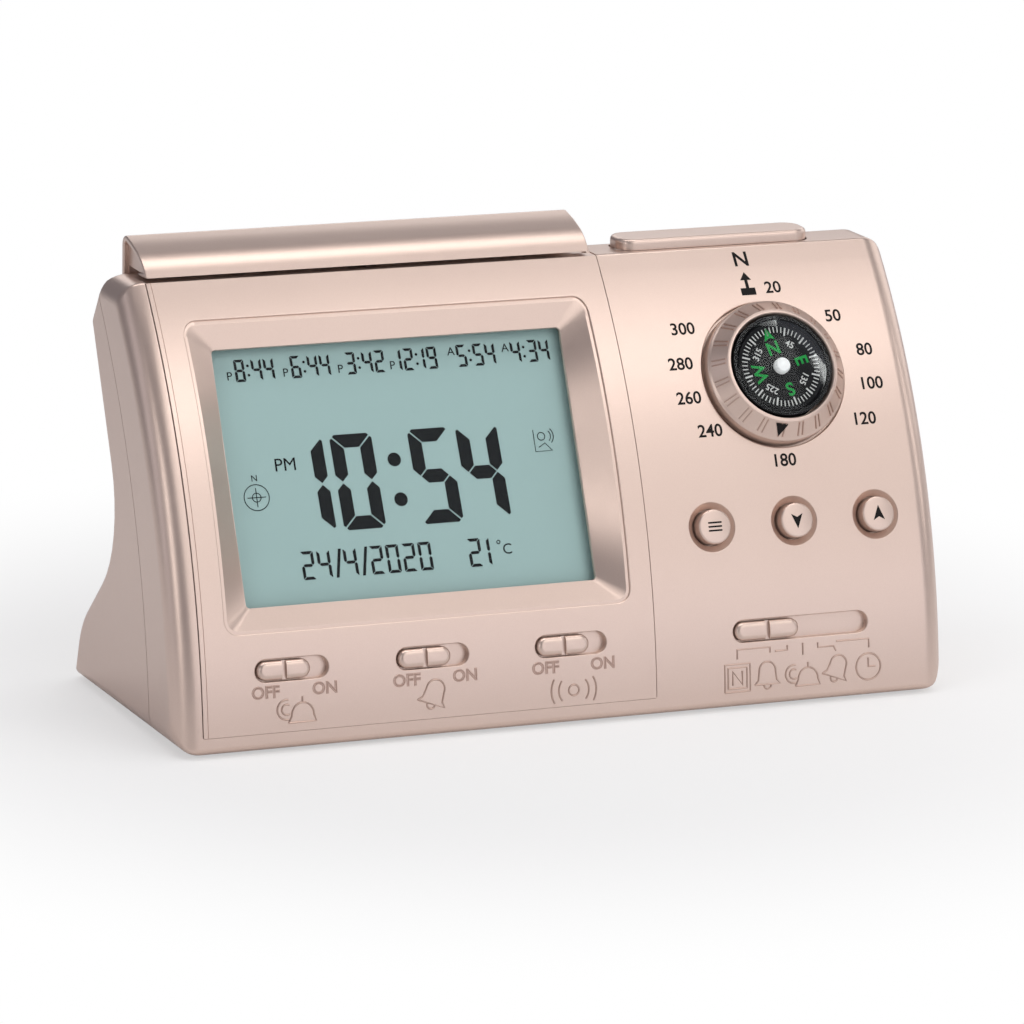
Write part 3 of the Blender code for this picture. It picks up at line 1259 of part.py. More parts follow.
def make_power():
    """Two cells, their contact plates and the sliding battery door."""
    centre_height = DOOR_THICKNESS + FIT_GAP + BATTERY_RADIUS
    half_bay = BAY_LENGTH / 2
    for index, side in enumerate((-1, 1), start=1):
        depth = BATTERY_MID_DEPTH + side * BATTERY_PITCH / 2
        turn = Matrix.Rotation(side * math.pi / 2, 4, "Y")
        frame = Matrix.Translation((BAY_ACROSS, depth, centre_height)) @ turn
        half = BATTERY_LENGTH / 2
        nipple = half + BATTERY_NIPPLE_LENGTH
        profile = [(0.0, nipple), (BATTERY_NIPPLE_RADIUS, nipple), (BATTERY_NIPPLE_RADIUS, half),
                   (BATTERY_RADIUS, half), (BATTERY_RADIUS, -half), (0.0, -half)]
        smooth(turned(f"battery_{index}", profile, frame, BATTERY_SLEEVE,
                      steps=SMALL_ROUND_STEPS * 2))
    contact = (CONTACT_THICKNESS, CONTACT_WIDTH, CONTACT_RISE)
    reach = half_bay - FIT_GAP - CONTACT_THICKNESS / 2
    low = centre_height - CONTACT_RISE / 2
    for name, side in (("front", -1), ("rear", 1)):
        depth = BATTERY_MID_DEPTH + side * BATTERY_PITCH / 2
        place = Matrix.Translation((BAY_ACROSS + reach, depth, 0.0))
        block(f"{name}_contact_plate", contact, low, place, STEEL)
    link = (CONTACT_THICKNESS, CONTACT_WIDTH + BATTERY_PITCH, CONTACT_RISE)
    place = Matrix.Translation((BAY_ACROSS - reach, BATTERY_MID_DEPTH, 0.0))
    block("link_contact_plate", link, low, place, STEEL)
    make_battery_door()


def make_battery_door():
    """Sliding door under the cells, with side tongues and finger grips."""
    depth = CASE_DEPTH - BOTTOM_FILLET - DOOR_FRONT_DEPTH
    frame = Matrix.Translation((BAY_ACROSS, DOOR_FRONT_DEPTH + depth / 2, 0.0))
    body_width = DOOR_WIDTH - 2 * DOOR_TONGUE_WIDTH
    door = block("battery_door", (body_width, depth, DOOR_THICKNESS), 0.0, frame, ROSE_PAINT)
    tongue = (DOOR_WIDTH, depth, DOOR_TONGUE_THICKNESS)
    fuse(door, block("door_tongues", tongue, DOOR_THICKNESS - DOOR_TONGUE_THICKNESS, frame))
    grip = (DOOR_GRIP_WIDTH, DOOR_GRIP_PITCH / 2, CUT_OVERRUN + DOOR_GRIP_DEPTH)
    for index in range(DOOR_GRIPS):
        back = depth / 2 - (index + 2) * DOOR_GRIP_PITCH
        place = frame @ Matrix.Translation((0.0, back, 0.0))
        cut(door, block(f"door_grip_{index}", grip, -CUT_OVERRUN, place))


def make_fasteners():
    """Four case screws in their wells and four rubber feet."""
    for index, (tag, frame) in enumerate(screw_frames(), start=1):
        seat = SHUT_GAP + WELL_FLOOR + FIT_GAP
        head = seat + SCREW_HEAD_THICKNESS
        socket = head - SCREW_SOCKET_DEPTH
        profile = [(0.0, socket), (SCREW_SOCKET_RADIUS, socket), (SCREW_SOCKET_RADIUS, head),
                   (SCREW_HEAD_RADIUS, head), (SCREW_HEAD_RADIUS, seat), (SCREW_RADIUS, seat),
                   (SCREW_RADIUS, head - SCREW_LENGTH), (0.0, head - SCREW_LENGTH)]
        turned(f"case_screw_{index}", profile, frame, STEEL, steps=SMALL_ROUND_STEPS)
    index = 0
    for side in (-1, 1):
        for depth in (FOOT_FRONT_DEPTH, FOOT_REAR_DEPTH):
            index += 1
            frame = Matrix.Translation((side * FOOT_ACROSS, depth, 0.0))
            rod(f"rubber_foot_{index}", FOOT_RADIUS, -FOOT_PROUD, FOOT_RECESS - FIT_GAP, frame, RUBBER,
                steps=SMALL_ROUND_STEPS * 2)


def main():
    """Build the clock."""
    clear_scene()
    origin = bpy.data.objects.new("clock_origin", None)
    PARTS.objects.link(origin)
    depths = [point.x for point in case_outline(0.0, 0.0, 0.0)]
    origin.location = (0.0, -(min(depths) + max(depths)) / 2, FOOT_PROUD)
    make_front_case()
    make_rear_case()
    make_display_panel()
    make_display_stack()
    make_slide_switches()
    make_buttons()
    make_compass()
    make_bar_key()
    make_pad_key()
    make_key_board()
    make_speaker()
    make_power()
    make_fasteners()


main()
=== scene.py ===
"""Looks of the azan clock: a desk clock with a curved front, a display, a compass and two keys.

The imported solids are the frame. Pieces are modelled in the clock's own frame, x across the front,
y back from the front's foot and z up from the underside of the case, and moved by CLOCK_FRAME to
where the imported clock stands. Lengths are metres and angles are radians.
"""

import json
import logging
import math
from dataclasses import dataclass
from enum import Enum
from functools import lru_cache
from typing import Callable, Optional, Sequence, Union

import bmesh
import bpy
from mathutils import Matrix, Vector

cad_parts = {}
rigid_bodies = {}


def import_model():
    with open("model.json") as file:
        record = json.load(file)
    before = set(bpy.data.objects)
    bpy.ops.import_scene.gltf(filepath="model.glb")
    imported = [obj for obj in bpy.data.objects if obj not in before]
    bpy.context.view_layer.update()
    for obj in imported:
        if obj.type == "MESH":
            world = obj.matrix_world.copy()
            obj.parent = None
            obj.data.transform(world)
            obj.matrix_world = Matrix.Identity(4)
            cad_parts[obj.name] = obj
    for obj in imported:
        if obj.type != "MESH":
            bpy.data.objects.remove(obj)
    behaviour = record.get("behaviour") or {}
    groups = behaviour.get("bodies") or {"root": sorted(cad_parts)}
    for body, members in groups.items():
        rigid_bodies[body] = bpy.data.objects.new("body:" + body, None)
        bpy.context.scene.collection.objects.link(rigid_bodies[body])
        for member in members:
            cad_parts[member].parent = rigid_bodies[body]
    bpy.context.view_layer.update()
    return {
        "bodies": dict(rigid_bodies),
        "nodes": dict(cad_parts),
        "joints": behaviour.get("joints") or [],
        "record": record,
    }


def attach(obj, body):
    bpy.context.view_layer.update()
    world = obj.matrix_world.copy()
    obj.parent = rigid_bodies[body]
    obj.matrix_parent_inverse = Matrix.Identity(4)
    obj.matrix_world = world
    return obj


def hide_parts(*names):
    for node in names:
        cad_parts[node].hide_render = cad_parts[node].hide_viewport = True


LOG = logging.getLogger("azan_clock")
CLOCK_FRAME = Matrix.Translation((0.0, -0.0321303, 0.0006))
# Points nearer than MERGE are one, HAIR keeps two faces apart and a cutter starts OVER the face.
MERGE = 0.000002
HAIR = 0.00001
OVER = 0.0012
Thing = bpy.types.Object
Material = bpy.types.Material
Loop = list[Vector]
Outliner = Callable[[float], Loop]
Place = Callable[[Vector], Vector]
Spot = tuple[float, float]
Stroke = Sequence[Spot]
Corner = tuple[float, float, float]
Colour = tuple[float, float, float]
Spots = tuple[Spot, ...]
WHITE = (1.0, 1.0, 1.0, 1.0)


class Body(Enum):
    """The moving bodies that pieces ride on."""

    CASE = "case"
    RING = "direction_ring"
    CARD = "compass_card"
    AZAN_KNOB = "azan_switch_knob"
    ALARM_KNOB = "alarm_switch_knob"
    SNOOZE_KNOB = "snooze_switch_knob"
    MODE_KNOB = "mode_knob"
    SET_BUTTON = "set_button"
    DOWN_BUTTON = "down_button"
    UP_BUTTON = "up_button"
    BAR = "snooze_bar"
    PAD = "light_key"
    DOOR = "battery_door"


class Skin(Enum):
    """Names of the record's material slots."""

    PAINT = "rose_paint"
    BLACK = "black_plastic"
    IVORY = "ivory_plastic"
    CLEAR = "clear_window"


# Shader maths


class Signal:
    """A node's output socket that Python's operators work on."""

    def __init__(self, painter: "Painter", socket: bpy.types.NodeSocket) -> None:
        """Keep the painter and the socket."""
        self.painter = painter
        self.socket = socket

    def _math(self, operation: str, first: "Value", second: "Value") -> "Signal":
        """Add one Math node and return its value."""
        return self.painter.node("ShaderNodeMath", {0: first, 1: second}, {"operation": operation})

    def __add__(self, other: "Value") -> "Signal":
        """Sum."""
        return self._math("ADD", self, other)

    def __radd__(self, other: "Value") -> "Signal":
        """Sum with a number on the left."""
        return self._math("ADD", other, self)

    def __sub__(self, other: "Value") -> "Signal":
        """Difference."""
        return self._math("SUBTRACT", self, other)

    def __rsub__(self, other: "Value") -> "Signal":
        """Difference from a number."""
        return self._math("SUBTRACT", other, self)

    def __mul__(self, other: "Value") -> "Signal":
        """Product."""
        return self._math("MULTIPLY", self, other)

    def __rmul__(self, other: "Value") -> "Signal":
        """Product with a number on the left."""
        return self._math("MULTIPLY", other, self)


Value = Union[Signal, float]


class Painter:
    """Builds the nodes of one material or of the world."""

    def __init__(self, name: str, world: bool = False) -> None:
        """Start with no nodes.

        Args:
            name: Name of the material or world.
            world: Whether it is a world.
        """
        self.last = "ShaderNodeOutputWorld" if world else "ShaderNodeOutputMaterial"
        self.made = (bpy.data.worlds if world else bpy.data.materials).new(name)
        self.made.use_nodes = True
        self.tree = self.made.node_tree
        self.tree.nodes.clear()

    def node(self, kind: str, sockets: Optional[dict] = None, settings: Optional[dict] = None,
             out: Union[int, str] = 0) -> Signal:
        """Add a node, set it up and return one of its outputs.

        Args:
            kind: Type name of the node.
            sockets: Values or signals by input name or index.
            settings: Properties that are set first; "stops" fills a colour ramp.
            out: Name or index of the output wanted.

        Returns:
            The output as a signal.
        """
        made = self.tree.nodes.new(kind)
        for key, value in (settings or {}).items():
            if key == "stops":
                for index, (place, colour) in enumerate(value):
                    if index > 1:
                        made.color_ramp.elements.new(place)
                    made.color_ramp.elements[index].position = place
                    made.color_ramp.elements[index].color = (*colour, 1.0)
            else:
                setattr(made, key, value)
        for key, value in (sockets or {}).items():
            if isinstance(value, Signal):
                self.tree.links.new(value.socket, made.inputs[key])
            else:
                made.inputs[key].default_value = value
        return Signal(self, made.outputs[out])

    def place(self) -> Signal:
        """Object coordinates of the surface."""
        return self.node("ShaderNodeTexCoord", out="Object")

    def noise(self, scale: float, detail: float = 2.0, stretch: Colour = (1.0, 1.0, 1.0)) -> Signal:
        """Noise on object coordinates.

        Args:
            scale: Spots per metre.
            detail: Number of finer layers.
            stretch: Scale along each axis.

        Returns:
            The noise, near 0.5 on average.
        """
        spot = self.node("ShaderNodeMapping", {"Vector": self.place(), "Scale": stretch})
        return self.node("ShaderNodeTexNoise",
                         {"Vector": spot, "Scale": scale, "Detail": detail})

    def blend(self, share: Value, first: Colour, second: Colour) -> Signal:
        """Colour between two colours by a share."""
        return self.node("ShaderNodeMix", {0: share, 6: (*first, 1.0), 7: (*second, 1.0)},
                         {"data_type": "RGBA"}, 2)

    def bump(self, height: Signal, distance: float, strength: float) -> Signal:
        """Normal bent by a height signal."""
        return self.node("ShaderNodeBump",
                         {"Height": height, "Distance": distance, "Strength": strength})

    def shader(self, sockets: dict) -> Signal:
        """Principled shader with its sockets set or linked."""
        return self.node("ShaderNodeBsdfPrincipled", sockets)

    def finish(self, shader: Signal) -> Union[Material, bpy.types.World]:
        """Link the shader to the output.

        Args:
            shader: What the surface shows.

        Returns:
            The material or world.
        """
        output = self.tree.nodes.new(self.last)
        self.tree.links.new(shader.socket, output.inputs["Surface"])
        return self.made


class Finish:
    """A finish that can make its material."""

    def material(self) -> Material:
        """Make the material."""
        raise NotImplementedError


@lru_cache(maxsize=None)
def made(finish: Finish) -> Material:
    """The material of a finish, made at its first use."""
    return finish.material()


@dataclass(frozen=True)
class SatinPaint(Finish):
    """Satin metallic paint on moulded plastic."""

    name: str = "rose_satin_paint"
    light: Colour = (0.75, 0.595, 0.515)
    deep: Colour = (0.635, 0.484, 0.418)
    metallic: float = 0.8
    roughness: float = 0.34

    def material(self) -> Material:
        """Paint with fine flakes, a cloudy tone and a sprayed skin.

        Returns:
            The material.
        """
        paint = Painter(self.name)
        cloud = paint.noise(22.0, 3.0)
        flake = paint.noise(5200.0, 1.0)
        spray = paint.noise(900.0, 2.0)
        tone = cloud * 0.5 + flake * 0.5
        colour = paint.blend(tone, self.deep, self.light)
        roughness = self.roughness - 0.05 + spray * 0.06 + cloud * 0.04
        skin = paint.bump(spray * 0.6 + flake * 0.4, 0.00003, 0.35)
        return paint.finish(paint.shader({"Base Color": colour, "Metallic": self.metallic,
                                          "Roughness": roughness, "Normal": skin,
                                          "Coat Weight": 0.3, "Coat Roughness": 0.34}))


@dataclass(frozen=True)
class Moulded(Finish):
    """Plain moulded plastic, rubber or paper with a fine grain, and a painted glow where glow is
    set.
    """

    name: str
    colour: Colour
    roughness: float = 0.5
    grain: float = 1500.0
    depth: float = 0.00003
    metallic: float = 0.0
    spread: float = 0.12
    shine: float = 0.5
    # Strength of a painted glow: emission that brightens a part that is no lamp.
    glow: float = 0.0

    def material(self) -> Material:
        """One colour with cloudy and fine changes of tone, a grained skin and, where glow is set, a
        painted glow.

        Returns:
            The material.
        """
        paint = Painter(self.name)
        grain = paint.noise(self.grain, 3.0)
        cloud = paint.noise(60.0, 2.0)
        dark = tuple(part * (1.0 - self.spread) for part in self.colour)
        light = tuple(min(1.0, part * (1.0 + self.spread)) for part in self.colour)
        colour = paint.blend(grain * 0.5 + cloud * 0.5, dark, light)
        roughness = self.roughness - 0.06 + grain * 0.12
        # A glow above zero is painted light, white emission from a part that is no lamp.
        return paint.finish(paint.shader({"Base Color": colour, "Roughness": roughness,
                                          "Metallic": self.metallic,
                                          "Specular IOR Level": self.shine,
                                          "Emission Color": WHITE,
                                          "Emission Strength": self.glow,
                                          "Normal": paint.bump(grain, self.depth, 0.5)}))


@dataclass(frozen=True)
class BrushedMetal(Finish):
    """Bare metal with a drawn grain along x."""

    name: str
    colour: Colour
    roughness: float = 0.28

    def material(self) -> Material:
        """Metal with streaks in its tone and roughness.

        Returns:
            The material.
        """
        paint = Painter(self.name)
        streak = paint.noise(1200.0, 3.0, (0.06, 1.0, 1.0))
        stain = paint.noise(90.0, 2.0)
        colour = paint.blend(streak * 0.6 + stain * 0.4, tuple(part * 0.85 for part in self.colour),
                             self.colour)
        roughness = self.roughness - 0.05 + streak * 0.1 + stain * 0.06
        return paint.finish(paint.shader({"Base Color": colour, "Metallic": 1.0,
                                          "Roughness": roughness,
                                          "Normal": paint.bump(streak, 0.00001, 0.4)}))


@dataclass(frozen=True)
class ClearPlastic(Finish):
    """Clear polished plastic that shows what lies behind it."""

    name: str
    gloss: float
    tint: Colour = (0.97, 0.98, 0.98)

    def material(self) -> Material:
        """Clear sheet with a reflection that grows towards its edges.

        Returns:
            The material.
        """
        paint = Painter(self.name)
        haze = paint.noise(140.0, 2.0)
        edge = paint.node("ShaderNodeFresnel", {"IOR": 1.45})
        clear = paint.node("ShaderNodeBsdfTransparent", {"Color": (*self.tint, 1.0)})
        shine = paint.shader({"Base Color": (0.95, 0.97, 0.97, 1.0), "Metallic": 1.0,
                              "Roughness": 0.04 + haze * 0.03})
        return paint.finish(paint.node("ShaderNodeMixShader",
                                       {0: edge * self.gloss, 1: clear, 2: shine}))


@dataclass(frozen=True)
class DisplayGlass(Finish):
    """Reflective liquid crystal glass behind its polariser."""

    name: str = "display_polariser"
    light: Colour = (0.44, 0.62, 0.602)
    deep: Colour = (0.4, 0.572, 0.554)

    def material(self) -> Material:
        """Grey green film with a soft cloud and a fine weave.

        Returns:
            The material.
        """
        paint = Painter(self.name)
        cloud = paint.noise(18.0, 2.0)
        weave = paint.noise(4200.0, 1.0)
        colour = paint.blend(cloud * 0.7 + weave * 0.3, self.deep, self.light)
        return paint.finish(paint.shader({"Base Color": colour, "Roughness": 0.42 + weave * 0.1,
                                          "Normal": paint.bump(weave, 0.00001, 0.2)}))


@dataclass(frozen=True)
class PrintInk(Finish):
    """Printed ink with a slightly uneven film."""

    name: str
    colour: Colour
    roughness: float = 0.45
    shine: float = 0.12

    def material(self) -> Material:
        """Ink with fine speckle in its tone and gloss.

        Returns:
            The material.
        """
        paint = Painter(self.name)
        speck = paint.noise(3500.0, 2.0)
        colour = paint.blend(speck, tuple(part * 0.8 for part in self.colour), self.colour)
        return paint.finish(paint.shader({"Base Color": colour, "Specular IOR Level": self.shine,
                                          "Roughness": self.roughness - 0.05 + speck * 0.1}))


@dataclass(frozen=True)
class CircuitBoard(Finish):
    """Green solder mask with tracks under it."""

    name: str = "solder_mask"

    def material(self) -> Material:
        """Mask whose tone follows a raised pattern of tracks.

        Returns:
            The material.
        """
        paint = Painter(self.name)
        track = paint.node("ShaderNodeTexVoronoi", {"Vector": paint.place(), "Scale": 420.0},
                           {"feature": "DISTANCE_TO_EDGE"}, "Distance")
        raised = paint.node("ShaderNodeMapRange", {0: track, 1: 0.04, 2: 0.09, 3: 1.0, 4: 0.0})
        speck = paint.noise(1800.0, 2.0)
        colour = paint.blend(raised * 0.7 + speck * 0.3, (0.016, 0.12, 0.045), (0.04, 0.24, 0.09))
        return paint.finish(paint.shader({"Base Color": colour, "Roughness": 0.34 + speck * 0.1,
                                          "Normal": paint.bump(raised, 0.00004, 0.6)}))


@dataclass(frozen=True)
class CellSleeve(Finish):
    """Shrink sleeve of a battery with two plain bands."""

    name: str = "cell_sleeve_film"
    ends: Spot = (-0.0555, -0.0065)
    pale: Colour = (0.55, 0.55, 0.54)
    blue: Colour = (0.05, 0.09, 0.22)

    def material(self) -> Material:
        """Blue sleeve with a pale band at both ends.

        Returns:
            The material.
        """
        paint = Painter(self.name)
        along = paint.node("ShaderNodeSeparateXYZ", {0: paint.place()}, out="X")
        band = paint.node("ShaderNodeMapRange",
                          {0: along, 1: self.ends[0], 2: self.ends[1], 5: 5.0},
                          {"interpolation_type": "STEPPED"})
        colour = paint.node("ShaderNodeValToRGB", {0: band}, {"stops": (
            (0.0, self.pale), (0.1, self.blue), (0.75, self.blue), (0.8, self.pale))})
        scuff = paint.noise(500.0, 3.0)
        return paint.finish(paint.shader({"Base Color": colour, "Metallic": 0.3,
                                          "Roughness": 0.26 + scuff * 0.14,
                                          "Normal": paint.bump(scuff, 0.00002, 0.3)}))


@dataclass(frozen=True)
class PaleFloor(Finish):
    """Seamless white sweep that keeps the clock's soft shadow."""

    name: str = "pale_floor"
    near: float = 0.085
    far: float = 0.19
    lift: float = 0.5

    def material(self) -> Material:
        """White ground, lifted to plain white where the camera sees it.

        Returns:
            The material.
        """
        paint = Painter(self.name)
        speck = paint.noise(900.0, 2.0)
        colour = paint.blend(speck, (0.905, 0.905, 0.905), (0.925, 0.925, 0.925))
        ground = paint.shader({"Base Color": colour, "Roughness": 0.9,
                               "Specular IOR Level": 0.1})
        seen = paint.node("ShaderNodeLightPath", out="Is Camera Ray")
        reach = paint.node("ShaderNodeVectorMath", {0: paint.place()}, {"operation": "LENGTH"},
                           "Value")
        share = paint.node("ShaderNodeMapRange",
                           {0: reach, 1: self.near, 2: self.far, 3: self.lift},
                           {"interpolation_type": "SMOOTHSTEP"})
        glow = paint.node("ShaderNodeEmission", {"Color": WHITE})
        return paint.finish(paint.node("ShaderNodeMixShader",
                                       {0: share * seen, 1: ground, 2: glow}))


PAINT = SatinPaint()
# Darker copy of the paint for the raised marks and the ring's ridges: painted shade that stands in
# for the shade along their relief.
SHADED_RELIEF_PAINT = SatinPaint("rose_relief_painted_shade", (0.58, 0.42, 0.355), (0.47, 0.335, 0.28))
WINDOW_CLEAR = ClearPlastic("window_acrylic", 0.07)
DOME_CLEAR = ClearPlastic("dome_acrylic", 0.22)
BLACK = Moulded("black_plastic", (0.008, 0.008, 0.009), 0.5, 900.0, 0.000005, shine=0.12)
# White enamel of the card's hub with a painted glow: a little emission that brightens it though it
# is no lamp.
HUB_WITH_PAINTED_GLOW = Moulded("hub_enamel_painted_glow", (0.98, 0.98, 0.97), 0.2, spread=0.02, shine=1.0, glow=0.2)
INK = PrintInk("black_ink", (0.012, 0.01, 0.01))
DISPLAY_INK = PrintInk("display_bars", (0.009, 0.011, 0.013), 0.2)
WHITE_INK = PrintInk("white_ink", (0.8, 0.8, 0.78))
GREEN_INK = PrintInk("green_ink", (0.02, 0.42, 0.08))


# Outlines


def fillet_corner(before: Vector, corner: Vector, after: Vector, radius: float,
                  steps: int) -> Loop:
    """Points that round one corner of an outline.

    Args:
        before: Point before the corner.
        corner: The corner.
        after: Point after the corner.
        radius: Radius of the round; none leaves the points on the corner.
        steps: Number of spans.

    Returns:
        The points, one more than the spans.
    """
    if radius <= 0.0:
        return [corner.copy() for _ in range(steps + 1)]
    back = (before - corner).normalized()
    ahead = (after - corner).normalized()
    half = back.angle(ahead) / 2
    reach = radius / math.tan(half)
    centre = corner + (back + ahead).normalized() * (radius / math.sin(half))
    start = corner + back * reach - centre
    end = corner + ahead * reach - centre
    sweep = start.angle_signed(end)
    return [centre + Matrix.Rotation(-sweep * step / steps, 2) @ start for step in range(steps + 1)]


def rounded_outline(corners: Sequence[tuple[Vector, float]], steps: int) -> Loop:
    """Closed outline from corners and the radius of each.

    Args:
        corners: Points with their radii.
        steps: Spans of each round.

    Returns:
        The outline's points.
    """
    outline: Loop = []
    for index, (corner, radius) in enumerate(corners):
        before = corners[index - 1][0]
        after = corners[(index + 1) % len(corners)][0]
        outline += fillet_corner(before, corner, after, radius, steps)
    return outline


def capsule(length: float, rise: float, steps: int = 12) -> Loop:
    """Outline with half-round ends about the origin.

    Args:
        length: Whole length.
        rise: Height, twice the radius of the ends.
        steps: Spans of each end.

    Returns:
        The outline's points.
    """
    radius = rise / 2
    outline: Loop = []
    for side in (1, -1):
        middle = Vector((side * (length / 2 - radius), 0.0))
        for step in range(steps + 1):
            angle = math.pi * (step / steps - 0.5)
            outline.append(middle + Vector((math.cos(angle), math.sin(angle))) * (side * radius))
    return outline


def rounded_rect(width: float, height: float, radius: float, steps: int = 6,
                 side_steps: int = 1) -> Loop:
    """Rounded rectangle about the origin.

    Args:
        width: Size along x.
        height: Size along y.
        radius: Radius of the corners.
        steps: Spans of each corner.
        side_steps: Spans of each upright side.

    Returns:
        The outline's points.
    """
    half = Vector((width / 2, height / 2))
    corners = [(Vector((half.x * across, half.y * up)), radius)
               for across, up in ((1, -1), (1, 1), (-1, 1), (-1, -1))]
    rounded = rounded_outline(corners, steps)
    outline: Loop = []
    for side in range(4):
        run = rounded[side * (steps + 1):(side + 1) * (steps + 1)]
        outline += run
        if side % 2 == 0:
            end = rounded[(side + 1) * (steps + 1)]
            outline += [run[-1].lerp(end, step / side_steps) for step in range(1, side_steps)]
    return outline


def circle(radius: float, steps: int) -> Loop:
    """Round outline about the origin, from beside its lowest place."""
    turns = [2 * math.pi * (step + 0.5) / steps - math.pi / 2 for step in range(steps)]
    return [Vector((math.cos(turn), math.sin(turn))) * radius for turn in turns]


def inset_corner(before: Vector, corner: Vector, after: Vector, inset: float,
                 next_inset: float) -> Vector:
    """Corner of a clockwise outline moved inwards from each of its two sides.

    Args:
        before: Point before the corner.
        corner: The corner.
        after: Point after the corner.
        inset: Distance from the side that ends here.
        next_inset: Distance from the side that starts here.

    Returns:
        The moved corner.
    """
    first = (corner - before).normalized()
    second = (after - corner).normalized()
    first_in = Vector((first.y, -first.x))
    second_in = Vector((second.y, -second.x))
    spread = first_in.x * second_in.y - second_in.x * first_in.y
    return corner + Vector(((inset * second_in.y - next_inset * first_in.y) / spread,
                            (next_inset * first_in.x - inset * second_in.x) / spread))


def inset_outline(spots: Spots, inset: float) -> Loop:
    """Closed clockwise outline moved inwards.

    Args:
        spots: Its corners.
        inset: Distance that every side moves.

    Returns:
        The moved corners.
    """
    corners = [Vector(spot) for spot in spots]
    return [inset_corner(corners[index - 1], corner, corners[(index + 1) % len(corners)], inset,
                         inset) for index, corner in enumerate(corners)]


def edge_round(radius: float, steps: int = 4) -> list[Spot]:
    """Quarter round as (drawn in, below the top) pairs, from the side up to the top."""
    turns = [math.pi / 2 * step / steps for step in range(steps + 1)]
    return [(radius * (1 - math.cos(turn)), radius * (1 - math.sin(turn))) for turn in turns]


# Meshes


